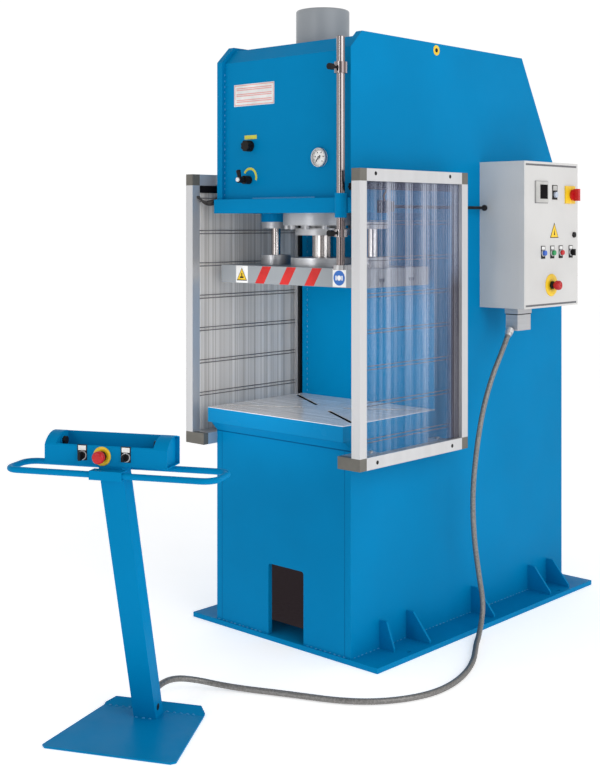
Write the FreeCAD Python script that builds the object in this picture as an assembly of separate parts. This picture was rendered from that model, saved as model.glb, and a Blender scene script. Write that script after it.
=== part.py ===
"""Hydraulic C-frame press with side guards, an electric cabinet and a two-hand console.

Millimetres, +Z up, the front of the press towards -Y. The origin is where the ram's axis
meets the floor. Every sub-part is written to parts/NODE.step.
"""
import FreeCAD, Part
import math
import os

Vec = FreeCAD.Vector

# ---- press frame -------------------------------------------------------------------------
FRAME_WIDTH = 725.0
FRAME_FRONT = -250.0
FRAME_REAR = 1257.0
FRAME_TOP = 2385.0
SIDE_T = 30.0
HEAD_BEVEL = 67.0
HEAD_REAR = 921.0
REAR_KINK_Z = 1792.0
THROAT_BACK = 272.0
THROAT_TOP = 1695.0
THROAT_RADIUS = 50.0
PLATE_T = 20.0
COVER_T = 6.0
COVER_RECESS = 15.0
HEAD_BASE_T = 57.0
HEAD_LIP = 18.0
CUTOUT = (-67.0, 122.0, 302.0)
CUTOUT_RADIUS = 12.0

# ---- base --------------------------------------------------------------------------------
BASE_SIDE_MARGIN = 135.5
BASE_FRONT_MARGIN = 9.0
BASE_REAR_MARGIN = 34.0
BASE_T = 20.0
ANCHOR_R = 11.0
ANCHOR_OUT = 104.5
ANCHOR_Y = (-35.0, 1050.0)
GUSSET_T = 10.0
GUSSET_H = 108.0
GUSSET_TOE = 115.0
NARROW_TOE = 70.0
GUSSET_Y = (92.0, 534.0, 972.0, 1125.0)
NARROW_GUSSET_Y = -75.0

# ---- table -------------------------------------------------------------------------------
TABLE_Z = 900.0
TABLE_T = 61.0
TABLE_OVERHANG = 49.0
TABLE_SIDE_OVERHANG = 3.5
LEDGE_H = 38.0
LEDGE_OUT = 35.0
SLOT_W = 18.0
SLOT_NECK = 20.0
SLOT_FOOT_W = 32.0
SLOT_FOOT_H = 14.0
SLOT_SLOPE = 0.63
TABLE_SLOT_START = 85.0
TABLE_SLOT_END = 405.0

# ---- cylinder, ram and platen ------------------------------------------------------------
STROKE = 400.0
BARREL_R = 109.0
BARREL_BORE_R = 90.0
BARREL_TOP = 2521.0
BARREL_CAP_T = 30.0
CYL_FLANGE_R = 162.5
CYL_FLANGE_T = 49.0
GLAND_R = 112.0
GLAND_T = 28.0
GLAND_NECK_R = 80.0
GLAND_NECK_H = 12.0
RAM_R = 42.5
RAM_FLANGE_R = 131.0
RAM_FLANGE_T = 34.0
PISTON_T = 90.0
PISTON_Z = 2390.0
BOLT_COUNT = 12
BOLT_PCD = 286.0
BOLT_HEAD_R = 14.0
BOLT_HEAD_H = 16.0
BOLT_SHANK_R = 8.0
PLATEN_X = 770.0
PLATEN_Y = 407.0
PLATEN_T = 72.0
PLATEN_Z = 1409.0
PLATEN_SLOT_Y = 92.0
GUIDE_X = 265.0
GUIDE_R = 20.0
GUIDE_TOP = 2180.0
GUIDE_COLLAR_R = 62.5
GUIDE_COLLAR_T = 40.0
GUIDE_HOUSING_R = 62.5
GUIDE_HOUSING_H = 35.0
GUIDE_BUSH_R = 59.0
GUIDE_BUSH_H = 27.0

# ---- depth stop --------------------------------------------------------------------------
STOP_IN = 17.5
STOP_ROD_R = 16.0
STOP_ROD_FOOT = 1499.0
STOP_ROD_TOP = 2355.0
STOP_BUSHING_R = 22.5
STOP_BUSHING_Z = (1676.0, 1768.0)
STOP_BUSHING_FLAT = 3.0
LUG_T = 18.0
LUG_W = 56.0
COLLAR_R = 25.0
UPPER_COLLAR_Z = (2215.0, 2257.0)
LOWER_COLLAR_Z = (1604.0, 1632.0)
CLAMP_SCREW_R = 5.0
CLAMP_KNOB_R = 12.0
CLAMP_KNOB_L = 22.0
CLAMP_REACH = 20.0

# ---- guards ------------------------------------------------------------------------------
GUARD_GAP = 107.5
PROFILE = 40.0
RAIL_H = 46.0
GUARD_Y = (-325.6, 353.5)
GUARD_Z = (746.4, 1857.3)
SHEET_T = 8.0
GROOVE_DEPTH = 12.0
GUARD_ARM_Y = (-190.0, 230.0)
ARM_CAP_T = 25.0
ARM_BEARING = 45.0

# ---- head controls -----------------------------------------------------------------------
GAUGE = (196.0, 1908.0)
GAUGE_R = 36.5
GAUGE_DEPTH = 14.0
GAUGE_WALL = 3.0
GAUGE_DIAL_DEPTH = 8.0
PRESSURE_KNOB = (-184.0, 1967.0)
PRESSURE_KNOB_R = 22.5
PRESSURE_KNOB_L = 32.0
SPEED_VALVE = (-190.0, 1830.0)
SPEED_HUB_R = 17.0
SPEED_HUB_L = 32.0
SPEED_NECK_R = 10.0
SPEED_BOSS = (44.0, 62.0)
SPEED_BOSS_R = 13.0
SPEED_CAP_R = 8.0
SPEED_CAP_L = 6.0
SPEED_GRIP_R = (7.0, 10.0)
SPEED_GRIP_L = 40.0
SPEED_LEAN = 14.0
LEVER_Y = -72.0
LEVER_Z = 1719.0
LEVER_OUT = 37.5
LEVER_R = 6.5
LEVER_END_Y = 574.0
LEVER_BALL_R = 13.0
LEVER_BALL_FLAT_R = 4.0
LEVER_PIN_R = 6.0
LEVER_HUB_R = 14.0
LEVER_HUB_W = 16.0

# ---- cabinet -----------------------------------------------------------------------------
CABINET_Y = (595.0, 1022.0)
CABINET_Z = (1299.0, 1913.0)
CABINET_DEPTH = 199.0
CABINET_WALL = 3.0
DOOR_T = 21.0
DOOR_WALL = 3.0
DOOR_BUTTONS = {"button_blue": 739.0, "button_green": 812.0, "button_red": 880.0}
DOOR_ROW_Z = 1529.0
DOOR_SELECTOR_Y = 962.0
MAIN_SWITCH = (968.0, 1777.0)
DOOR_ESTOP = (805.0, 1392.0)
DOOR_LOCK = (988.0, 1604.0)

# ---- connector and conduit ---------------------------------------------------------------
CONNECTOR_OUT = (107.5, 165.5)
CONNECTOR_Y = (630.0, 730.0)
CONNECTOR_BASE_H = 24.0
CONNECTOR_HOOD_H = 70.0
CONDUIT_R = 11.0
CONDUIT_GLAND_R = 17.0
CONDUIT_GLAND_L = 34.0
CONDUIT_ROUTE = (
    (499, 600, 1185), (503, 549, 1120), (499, 490, 1035), (492, 431, 905), (487, 390, 740),
    (486, 362, 560), (490, 368, 380), (500, 390, 225), (512, 402, 120), (527, 368, 51),
    (555, 305, 11), (590, 240, 11), (640, 160, 11), (695, 68, 11), (744, -45, 11),
    (775, -165, 11), (778, -285, 11), (740, -400, 11), (670, -500, 11), (575, -570, 11),
    (460, -620, 11), (360, -664, 11), (275, -705, 11), (190, -753, 17), (125, -812, 36),
    (100, -890, 58), (116, -974, 66), (157, -1041, 68))

# ---- console (own frame: x along it, front towards -y) ------------------------------------
CONSOLE_AT = (256.7, -1238.0)
CONSOLE_TURN = 26.2
FOOT_FRONT_HALF = 228.0
FOOT_REAR_HALF = 182.0
FOOT_Y = (-157.0, 212.0)
FOOT_T = 6.0
FOOT_FOLD_L = 45.0
FOOT_FOLD_RISE = 16.0
FOOT_CORNER = 14.0
POST_W = 80.0
POST_D = 60.0
POST_WALL = 4.0
POST_FRONT_Y = 141.0
POST_LEAN = 16.9
RAIL_R = 10.0
HAND_RAIL_X = 365.0
HAND_RAIL_Y = (-153.5, 1.5)
HAND_RAIL_Z = 872.0
HAND_RAIL_CORNER = 45.0
STRAP_W = 110.0
STRAP_T = 4.0
HOOD_X = (-227.0, 192.0)
HOOD_Y = (-130.0, -25.0)
HOOD_Z = 896.0
HOOD_FRONT_H = 58.0
HOOD_TOP = 988.0
HOOD_T = 3.0
TROUGH_X = (-188.0, 145.0)
TROUGH_Y = (-127.0, -42.0)
TROUGH_FLOOR = 942.0
END_PLATE_IN = 14.0
CONSOLE_CTRL_Z = 926.0
CONSOLE_SELECTOR_X = -95.0
CONSOLE_ESTOP_X = -27.0
CONSOLE_KEY_X = 54.0
HAND_BUTTON_R = 13.0
HAND_BUTTON_YZ = (-80.0, 961.0)
HAND_STEM_L = 14.0

# ---- controls of one kind ----------------------------------------------------------------
PUSH_HEAD_R = 10.5
PUSH_STEM_R = 6.0
PUSH_STEM_L = 26.0
PUSH_TRAVEL = 4.0
ESTOP_HEAD_R = 20.0
ESTOP_STEM_R = 11.0
ESTOP_TRAVEL = 5.0

# ---- clearances --------------------------------------------------------------------------
RUNNING = 0.05
SLIDING = 0.3
SEAT = 0.1

HALF = FRAME_WIDTH / 2
BASE_WIDTH = FRAME_WIDTH + 2 * BASE_SIDE_MARGIN
ANCHOR_X = HALF + ANCHOR_OUT
GUARD_X = HALF + GUARD_GAP
STOP_X = HALF - STOP_IN
LEVER_X = HALF + LEVER_OUT
CONNECTOR_X = (HALF + CONNECTOR_OUT[0], HALF + CONNECTOR_OUT[1])
INNER_HALF = HALF - SIDE_T
COVER_FRONT = FRAME_FRONT + COVER_RECESS
LIP_FRONT = FRAME_FRONT - HEAD_LIP
TABLE_SEAT_Z = TABLE_Z - TABLE_T
HEAD_BASE_TOP = THROAT_TOP + HEAD_BASE_T
PLATEN_TOP = PLATEN_Z + PLATEN_T
FLANGE_Z = THROAT_TOP - CYL_FLANGE_T
GLAND_Z = FLANGE_Z - GLAND_NECK_H - GLAND_T
STOP_Y = LIP_FRONT - STOP_BUSHING_R + STOP_BUSHING_FLAT
DOOR_X = HALF + CABINET_DEPTH
DOOR_FACE = DOOR_X + SLIDING + DOOR_T
X_AXIS = Vec(1, 0, 0)
Y_AXIS = Vec(0, 1, 0)
Z_AXIS = Vec(0, 0, 1)


def box(x0, x1, y0, y1, z0, z1):
    return Part.makeBox(x1 - x0, y1 - y0, z1 - z0, Vec(x0, y0, z0))


def rod(radius, start, end):
    start = Vec(*start)
    along = Vec(*end) - start
    return Part.makeCylinder(radius, along.Length, start, along)


def tube(outer, inner, start, end):
    return rod(outer, start, end).cut(rod(inner, start, end))


def prism(points, sweep):
    corners = [Vec(*p) for p in points]
    return Part.Face(Part.makePolygon(corners + corners[:1])).extrude(Vec(*sweep))


def side_prism(yz_points, x0, x1):
    return prism([(x0, y, z) for y, z in yz_points], (x1 - x0, 0, 0))


def mirror_x(shape):
    return shape.mirror(Vec(0, 0, 0), X_AXIS)


def both_sides(shape):
    return Part.makeCompound([shape, mirror_x(shape)])


def fused(shapes):
    return shapes[0].multiFuse(shapes[1:]).removeSplitter()


def inset(points, distance):
    """The closed outline moved inwards, for points listed clockwise in (y, z)."""
    moved = []
    for i, here in enumerate(points):
        lines = []
        for start, end in ((points[i - 1], here), (here, points[(i + 1) % len(points)])):
            dy, dz = end[0] - start[0], end[1] - start[1]
            length = math.hypot(dy, dz)
            offset = (start[0] + dz / length * distance, start[1] - dy / length * distance)
            lines.append((offset, (dy, dz)))
        (a, u), (b, v) = lines
        t = ((b[0] - a[0]) * v[1] - (b[1] - a[1]) * v[0]) / (u[0] * v[1] - u[1] * v[0])
        moved.append((a[0] + u[0] * t, a[1] + u[1] * t))
    return moved


FRAME_OUTLINE = [
    (FRAME_FRONT, BASE_T), (FRAME_FRONT, TABLE_SEAT_Z), (THROAT_BACK, TABLE_SEAT_Z),
    (THROAT_BACK, THROAT_TOP), (FRAME_FRONT, THROAT_TOP), (FRAME_FRONT, FRAME_TOP - HEAD_BEVEL),
    (FRAME_FRONT + HEAD_BEVEL, FRAME_TOP), (HEAD_REAR, FRAME_TOP), (FRAME_REAR, REAR_KINK_Z),
    (FRAME_REAR, BASE_T)]


# ---- frame -------------------------------------------------------------------------------
def side_plate():
    plate = side_prism(FRAME_OUTLINE, INNER_HALF, HALF)
    corner = [e for e in plate.Edges if abs(e.BoundBox.YMin - THROAT_BACK) < 0.1
              and abs(e.BoundBox.YMax - THROAT_BACK) < 0.1
              and abs(e.BoundBox.ZMin - THROAT_TOP) < 0.1 and e.BoundBox.ZLength < 0.1]
    return plate.makeFillet(THROAT_RADIUS, corner)


def base_plate():
    plate = box(-BASE_WIDTH / 2, BASE_WIDTH / 2, FRAME_FRONT - BASE_FRONT_MARGIN,
                FRAME_REAR + BASE_REAR_MARGIN, 0, BASE_T)
    for x in (-ANCHOR_X, ANCHOR_X):
        for y in ANCHOR_Y:
            plate = plate.cut(rod(ANCHOR_R, (x, y, -1), (x, y, BASE_T + 1)))
    return plate


def gusset(y, toe):
    x = HALF
    top = BASE_T + GUSSET_H
    points = [(x, BASE_T), (x + toe, BASE_T), (x + toe, BASE_T + 12), (x + 34, top), (x, top)]
    return prism([(px, y - GUSSET_T / 2, pz) for px, pz in points], (0, GUSSET_T, 0))


def base_gussets():
    ribs = [gusset(y, GUSSET_TOE) for y in GUSSET_Y] + [gusset(NARROW_GUSSET_Y, NARROW_TOE)]
    return Part.makeCompound(ribs + [mirror_x(rib) for rib in ribs])


def lower_front_plate():
    plate = box(-INNER_HALF, INNER_HALF, FRAME_FRONT, FRAME_FRONT + PLATE_T, BASE_T, TABLE_SEAT_Z)
    left, right, top = CUTOUT
    hole = box(left, right, FRAME_FRONT - 1, FRAME_FRONT + PLATE_T + 1, BASE_T - 1, top)
    uppers = [e for e in hole.Edges if e.BoundBox.YLength > PLATE_T and e.BoundBox.ZMin > top - 1]
    return plate.cut(hole.makeFillet(CUTOUT_RADIUS, uppers))


def throat_plate():
    y, back = THROAT_BACK, THROAT_BACK + PLATE_T
    slab = box(-INNER_HALF, INNER_HALF, y - THROAT_RADIUS, back, BASE_T, THROAT_TOP + PLATE_T)
    centre = (y - THROAT_RADIUS, THROAT_TOP - THROAT_RADIUS)
    room = fused([box(-HALF, HALF, centre[0] - 1, y, 0, centre[1]),
                  rod(THROAT_RADIUS, (-HALF, *centre), (HALF, *centre)),
                  box(-HALF, HALF, centre[0] - 1, centre[0], centre[1] - 1, THROAT_TOP)])
    outside = rod(THROAT_RADIUS + PLATE_T, (-HALF, *centre), (HALF, *centre))
    corner = box(-HALF, HALF, centre[0], back + 1, centre[1], THROAT_TOP + PLATE_T + 1)
    return slab.cut(room).cut(corner.cut(outside))


def cover_ring():
    outer = side_prism(inset(FRAME_OUTLINE, COVER_RECESS), -INNER_HALF, INNER_HALF)
    inner = side_prism(inset(FRAME_OUTLINE, COVER_RECESS + COVER_T), -HALF, HALF)
    return outer.cut(inner)


def head_cover():
    front = cover_ring().common(box(-HALF, HALF, FRAME_FRONT, HEAD_REAR - COVER_RECESS,
                                    HEAD_BASE_TOP, FRAME_TOP))
    return front.cut(rod(BARREL_R + SLIDING, (0, 0, FRAME_TOP - 60), (0, 0, FRAME_TOP + 1)))


def rear_cover():
    return cover_ring().common(box(-HALF, HALF, HEAD_REAR - COVER_RECESS, FRAME_REAR, BASE_T,
                                   FRAME_TOP))


def head_base_plate():
    inside_end = THROAT_BACK - THROAT_RADIUS
    plate = fused([box(-INNER_HALF, INNER_HALF, FRAME_FRONT, inside_end, THROAT_TOP, HEAD_BASE_TOP),
                   box(-HALF, HALF, LIP_FRONT, FRAME_FRONT, THROAT_TOP, HEAD_BASE_TOP)])
    plate = plate.cut(rod(BARREL_R + SLIDING, (0, 0, THROAT_TOP - 1), (0, 0, HEAD_BASE_TOP + 1)))
    for x in (-GUIDE_X, GUIDE_X):
        hole = rod(GUIDE_R + 4, (x, 0, THROAT_TOP - 1), (x, 0, HEAD_BASE_TOP + 1))
        plate = plate.cut(hole)
    return plate


# ---- table -------------------------------------------------------------------------------
def tee_slot(length, top, down=1):
    """A T-slot along +X from the origin, open towards +Z (down=1) or -Z (down=-1)."""
    neck = box(0, length, -SLOT_W / 2, SLOT_W / 2, -SLOT_NECK - 1, 1)
    foot = box(0, length, -SLOT_FOOT_W / 2, SLOT_FOOT_W / 2, -SLOT_NECK - SLOT_FOOT_H, -SLOT_NECK)
    slot = neck.fuse(foot)
    if down < 0:
        slot = slot.mirror(Vec(0, 0, 0), Z_AXIS)
    slot.translate(Vec(0, 0, top))
    return slot


def table_plate():
    half = HALF + TABLE_SIDE_OVERHANG
    front = FRAME_FRONT - TABLE_OVERHANG
    plate = box(-half, half, front, THROAT_BACK, TABLE_SEAT_Z, TABLE_Z)
    slant = math.degrees(math.atan(SLOT_SLOPE))
    for angle in (slant, 180 - slant, 180 + slant, -slant):
        slot = tee_slot(TABLE_SLOT_END - TABLE_SLOT_START, TABLE_Z)
        slot.translate(Vec(TABLE_SLOT_START, 0, 0))
        slot.rotate(Vec(0, 0, 0), Z_AXIS, angle)
        plate = plate.cut(slot)
    return plate


def bed_ledge():
    z = TABLE_SEAT_Z
    points = [(FRAME_FRONT, z - LEDGE_H), (FRAME_FRONT, z), (FRAME_FRONT - LEDGE_OUT, z)]
    return side_prism(points, -HALF, HALF)


# ---- cylinder and guides -----------------------------------------------------------------
def cylinder_barrel():
    body = rod(BARREL_R, (0, 0, THROAT_TOP), (0, 0, BARREL_TOP))
    rim = [e for e in body.Edges if e.BoundBox.ZMin > BARREL_TOP - 1]
    body = body.makeFillet(8, rim)
    return body.cut(rod(BARREL_BORE_R, (0, 0, THROAT_TOP - 1), (0, 0, BARREL_TOP - BARREL_CAP_T)))


def bolt_places():
    for i in range(BOLT_COUNT):
        turn = math.radians(360 * (i + 0.5) / BOLT_COUNT)
        yield BOLT_PCD / 2 * math.cos(turn), BOLT_PCD / 2 * math.sin(turn)


def cylinder_flange():
    flange = tube(CYL_FLANGE_R, RAM_R + RUNNING, (0, 0, FLANGE_Z), (0, 0, THROAT_TOP))
    for x, y in bolt_places():
        flange = flange.cut(rod(BOLT_SHANK_R + SEAT, (x, y, FLANGE_Z - 1), (x, y, THROAT_TOP + 1)))
    return flange


def flange_bolts():
    bolts = []
    for x, y in bolt_places():
        head = rod(BOLT_HEAD_R, (x, y, FLANGE_Z - BOLT_HEAD_H), (x, y, FLANGE_Z))
        shank = rod(BOLT_SHANK_R, (x, y, FLANGE_Z), (x, y, THROAT_TOP))
        socket = rod(BOLT_SHANK_R - 1, (x, y, FLANGE_Z - BOLT_HEAD_H - 1), (x, y, FLANGE_Z - 8))
        bolts.append(head.fuse(shank).cut(socket))
    return Part.makeCompound(bolts)


def rod_gland():
    ring = rod(GLAND_R, (0, 0, GLAND_Z), (0, 0, GLAND_Z + GLAND_T))
    neck = rod(GLAND_NECK_R, (0, 0, GLAND_Z + GLAND_T), (0, 0, FLANGE_Z))
    return ring.fuse(neck).cut(rod(RAM_R + RUNNING, (0, 0, GLAND_Z - 1), (0, 0, FLANGE_Z + 1)))


def guide_housings():
    low = THROAT_TOP - GUIDE_HOUSING_H
    ring = tube(GUIDE_HOUSING_R, GUIDE_R + 4, (GUIDE_X, 0, low), (GUIDE_X, 0, THROAT_TOP))
    ring = ring.cut(rod(CYL_FLANGE_R + SEAT, (0, 0, low - 1), (0, 0, THROAT_TOP + 1)))
    return both_sides(ring)


def guide_bushes():
    top = THROAT_TOP - GUIDE_HOUSING_H
    ring = tube(GUIDE_BUSH_R, GUIDE_R + RUNNING, (GUIDE_X, 0, top - GUIDE_BUSH_H), (GUIDE_X, 0, top))
    return both_sides(ring.cut(rod(CYL_FLANGE_R + SEAT, (0, 0, FLANGE_Z - 20), (0, 0, top + 1))))


# ---- moving ram assembly -----------------------------------------------------------------
def ram():
    shaft = rod(RAM_R, (0, 0, PLATEN_TOP), (0, 0, PISTON_Z))
    piston = rod(BARREL_BORE_R - RUNNING, (0, 0, PISTON_Z), (0, 0, PISTON_Z + PISTON_T))
    return shaft.fuse(piston)


def ram_flange():
    ring = tube(RAM_FLANGE_R, RAM_R + SEAT, (0, 0, PLATEN_TOP), (0, 0, PLATEN_TOP + RAM_FLANGE_T))
    for side in (-1, 1):
        near = rod(GUIDE_COLLAR_R + SLIDING, (side * GUIDE_X, 0, PLATEN_TOP - 1),
                   (side * GUIDE_X, 0, PLATEN_TOP + RAM_FLANGE_T + 1))
        ring = ring.cut(near)
    return ring


def platen():
    plate = box(-PLATEN_X / 2, PLATEN_X / 2, -PLATEN_Y / 2, PLATEN_Y / 2, PLATEN_Z, PLATEN_TOP)
    for y in (-PLATEN_SLOT_Y, PLATEN_SLOT_Y):
        slot = tee_slot(PLATEN_X + 2, PLATEN_Z, down=-1)
        slot.translate(Vec(-PLATEN_X / 2 - 1, y, 0))
        plate = plate.cut(slot)
    return plate


def guide_rods():
    return both_sides(rod(GUIDE_R, (GUIDE_X, 0, PLATEN_TOP), (GUIDE_X, 0, GUIDE_TOP)))


def guide_collars():
    return both_sides(tube(GUIDE_COLLAR_R, GUIDE_R + SEAT, (GUIDE_X, 0, PLATEN_TOP),
                           (GUIDE_X, 0, PLATEN_TOP + GUIDE_COLLAR_T)))


# ---- depth stop --------------------------------------------------------------------------
def stop_rod_lug():
    arm = box(STOP_X - LUG_W / 2, STOP_X + LUG_W / 2, STOP_Y, -PLATEN_Y / 2 + 60, PLATEN_TOP,
              PLATEN_TOP + LUG_T)
    nose = rod(LUG_W / 2, (STOP_X, STOP_Y, PLATEN_TOP), (STOP_X, STOP_Y, PLATEN_TOP + LUG_T))
    return arm.fuse(nose).removeSplitter()


def stop_rod():
    shaft = rod(STOP_ROD_R, (STOP_X, STOP_Y, STOP_ROD_FOOT), (STOP_X, STOP_Y, STOP_ROD_TOP))
    rim = [e for e in shaft.Edges if e.BoundBox.ZMin > STOP_ROD_TOP - 1]
    return shaft.makeChamfer(2, rim)


def stop_rod_bushing():
    low, high = STOP_BUSHING_Z
    ring = tube(STOP_BUSHING_R, STOP_ROD_R + RUNNING, (STOP_X, STOP_Y, low), (STOP_X, STOP_Y, high))
    return ring.cut(box(STOP_X - 40, STOP_X + 40, LIP_FRONT, LIP_FRONT + 40, low - 1, high + 1))


def stop_collar(span):
    low, high = span
    mid = (low + high) / 2
    ring = tube(COLLAR_R, STOP_ROD_R + RUNNING, (STOP_X, STOP_Y, low), (STOP_X, STOP_Y, high))
    tapped = rod(CLAMP_SCREW_R + SLIDING, (STOP_X, STOP_Y - 1, mid), (STOP_X, STOP_Y - 60, mid))
    return ring.cut(tapped)


def clamp_knob(span):
    mid = (span[0] + span[1]) / 2
    tip = STOP_Y - STOP_ROD_R - SLIDING
    grip = STOP_Y - COLLAR_R - CLAMP_REACH
    screw = rod(CLAMP_SCREW_R, (STOP_X, tip, mid), (STOP_X, grip, mid))
    head = rod(CLAMP_KNOB_R, (STOP_X, grip, mid), (STOP_X, grip - CLAMP_KNOB_L, mid))
    return screw.fuse(head)


# ---- guards ------------------------------------------------------------------------------
def sheet_span():
    post = PROFILE - GROOVE_DEPTH + SLIDING
    rail = RAIL_H - GROOVE_DEPTH + SLIDING
    return (GUARD_Y[0] + post, GUARD_Y[1] - post), (GUARD_Z[0] + rail, GUARD_Z[1] - rail)


def sheet_groove():
    (y0, y1), (z0, z1) = sheet_span()
    mid = GUARD_X - PROFILE / 2
    half = SHEET_T / 2 + SLIDING
    return box(mid - half, mid + half, y0 - SLIDING, y1 + SLIDING, z0 - SLIDING, z1 + SLIDING)


def guard_profiles():
    x0, x1 = GUARD_X - PROFILE, GUARD_X
    y0, y1 = GUARD_Y
    z0, z1 = GUARD_Z
    bars = [box(x0, x1, y, y + PROFILE, z0 + RAIL_H, z1 - RAIL_H) for y in (y0, y1 - PROFILE)]
    bars += [box(x0, x1, y0 + PROFILE, y1 - PROFILE, z, z + RAIL_H) for z in (z0, z1 - RAIL_H)]
    bars = [bar.cut(sheet_groove()) for bar in bars]
    return Part.makeCompound(bars + [mirror_x(bar) for bar in bars])


def guard_corners():
    x0, x1 = GUARD_X - PROFILE, GUARD_X
    blocks = []
    for y in (GUARD_Y[0], GUARD_Y[1] - PROFILE):
        for z in (GUARD_Z[0], GUARD_Z[1] - RAIL_H):
            blocks.append(box(x0, x1, y, y + PROFILE, z, z + RAIL_H).cut(sheet_groove()))
    front = GUARD_Y[0]
    blocks.append(box(HALF, x0, front, front + ARM_CAP_T, GUARD_Z[0], GUARD_Z[0] + RAIL_H))
    return Part.makeCompound(blocks + [mirror_x(block) for block in blocks])


def guard_sheet():
    (y0, y1), (z0, z1) = sheet_span()
    mid = GUARD_X - PROFILE / 2
    return box(mid - SHEET_T / 2, mid + SHEET_T / 2, y0, y1, z0, z1)


def guard_brackets():
    arms = []
    inner = GUARD_X - PROFILE
    for z in (GUARD_Z[0], GUARD_Z[1] - RAIL_H):
        for y in GUARD_ARM_Y:
            arms.append(box(HALF, inner, y, y + PROFILE, z + 3, z + RAIL_H - 3))
    arms.append(box(HALF, inner, GUARD_Y[0] + ARM_CAP_T, FRAME_FRONT + ARM_BEARING, GUARD_Z[0],
                    GUARD_Z[0] + RAIL_H))
    return Part.makeCompound(arms + [mirror_x(arm) for arm in arms])


# ---- head controls -----------------------------------------------------------------------
def on_cover(place, radius, depth, start=0.0):
    x, z = place
    return rod(radius, (x, COVER_FRONT - start, z), (x, COVER_FRONT - start - depth, z))


def pressure_gauge():
    case = on_cover(GAUGE, GAUGE_R, GAUGE_DEPTH)
    face = on_cover(GAUGE, GAUGE_R - GAUGE_WALL, GAUGE_DIAL_DEPTH + 1, GAUGE_DEPTH - GAUGE_DIAL_DEPTH)
    return case.cut(face).fuse(on_cover(GAUGE, 1.5, 6, GAUGE_DEPTH - GAUGE_DIAL_DEPTH))


def gauge_needle():
    x, z = GAUGE
    start = GAUGE_DEPTH - GAUGE_DIAL_DEPTH + 3
    hub = on_cover(GAUGE, 4.5, 2, start)
    back = COVER_FRONT - start
    blade = prism([(x - 10, back, z - 2), (x - 10, back, z + 2), (x + 22, back, z + 0.7),
                   (x + 22, back, z - 0.7)], (0, -2, 0))
    blade.rotate(Vec(x, back, z), Y_AXIS, 135)
    return hub.fuse(blade).cut(on_cover(GAUGE, 1.5 + RUNNING, 30))


def pressure_knob():
    skirt = on_cover(PRESSURE_KNOB, PRESSURE_KNOB_R, PRESSURE_KNOB_L, SLIDING)
    for i in range(8):
        turn = math.radians(45 * i)
        place = (PRESSURE_KNOB[0] + (PRESSURE_KNOB_R + 3) * math.cos(turn),
                 PRESSURE_KNOB[1] + (PRESSURE_KNOB_R + 3) * math.sin(turn))
        skirt = skirt.cut(on_cover(place, 6, PRESSURE_KNOB_L, 10))
    return skirt


def speed_lever():
    """A valve knob with a neck, a boss and a tapered grip that rises from the boss."""
    x, z = SPEED_VALVE
    near, far = SPEED_BOSS
    hub = on_cover(SPEED_VALVE, SPEED_HUB_R, SPEED_HUB_L, SLIDING)
    neck = on_cover(SPEED_VALVE, SPEED_NECK_R, near + 1 - SPEED_HUB_L + 1, SPEED_HUB_L - 1)
    boss = on_cover(SPEED_VALVE, SPEED_BOSS_R, far - near, near)
    cap = on_cover(SPEED_VALVE, SPEED_CAP_R, SPEED_CAP_L, far)
    grip = Part.makeCone(*SPEED_GRIP_R, SPEED_GRIP_L, Vec(x, COVER_FRONT - (near + far) / 2, z),
                         Vec(0, 0, 1))
    end = [e for e in grip.Edges if e.BoundBox.ZMin > z + SPEED_GRIP_L - 1]
    grip = grip.makeChamfer(2.5, end)
    grip.rotate(Vec(x, COVER_FRONT, z), Y_AXIS, -SPEED_LEAN)
    return fused([hub, neck, boss, cap, grip])


def lever_bracket():
    gap = LEVER_HUB_W / 2 + SLIDING
    cheeks = [box(LEVER_X - gap - 6, LEVER_X - gap, LEVER_Y - 18, LEVER_Y + 18, LEVER_Z - 20,
                  LEVER_Z + 20),
              box(LEVER_X + gap, LEVER_X + gap + 6, LEVER_Y - 18, LEVER_Y + 18, LEVER_Z - 20,
                  LEVER_Z + 20)]
    pad = box(HALF, LEVER_X - gap - 6, LEVER_Y - 22, LEVER_Y + 22, LEVER_Z - 24, LEVER_Z + 24)
    bridge = box(LEVER_X - gap - 6, LEVER_X + gap + 6, LEVER_Y - 26, LEVER_Y - 18, LEVER_Z - 20,
                 LEVER_Z + 20)
    pin = rod(LEVER_PIN_R, (LEVER_X - gap - 6, LEVER_Y, LEVER_Z), (LEVER_X + gap + 6, LEVER_Y, LEVER_Z))
    return fused(cheeks + [pad, bridge, pin])


def hand_lever():
    half = LEVER_HUB_W / 2
    at = (LEVER_X, LEVER_Y, LEVER_Z)
    hub = rod(LEVER_HUB_R, (LEVER_X - half, *at[1:]), (LEVER_X + half, *at[1:]))
    arm = rod(LEVER_R, at, (LEVER_X, LEVER_END_Y, LEVER_Z))
    flat = (LEVER_BALL_R ** 2 - LEVER_BALL_FLAT_R ** 2) ** 0.5
    ball = Part.makeSphere(LEVER_BALL_R, Vec(0, 0, 0), Vec(0, 1, 0))
    ball = ball.common(box(-20, 20, -flat, flat, -20, 20))
    ball.translate(Vec(LEVER_X, LEVER_END_Y, LEVER_Z))
    bore = rod(LEVER_PIN_R + RUNNING, (LEVER_X - half - 1, *at[1:]), (LEVER_X + half + 1, *at[1:]))
    return fused([hub, arm, ball]).cut(bore)


# ---- cabinet -----------------------------------------------------------------------------
def cabinet_box():
    y0, y1 = CABINET_Y
    z0, z1 = CABINET_Z
    w = CABINET_WALL
    outer = box(HALF, DOOR_X, y0, y1, z0, z1)
    return outer.cut(box(HALF + w, DOOR_X + 1, y0 + w, y1 - w, z0 + w, z1 - w))


def door_hole(place, radius):
    y, z = place
    return rod(radius + SLIDING, (DOOR_FACE - DOOR_WALL - 1, y, z), (DOOR_FACE + 1, y, z))


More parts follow.
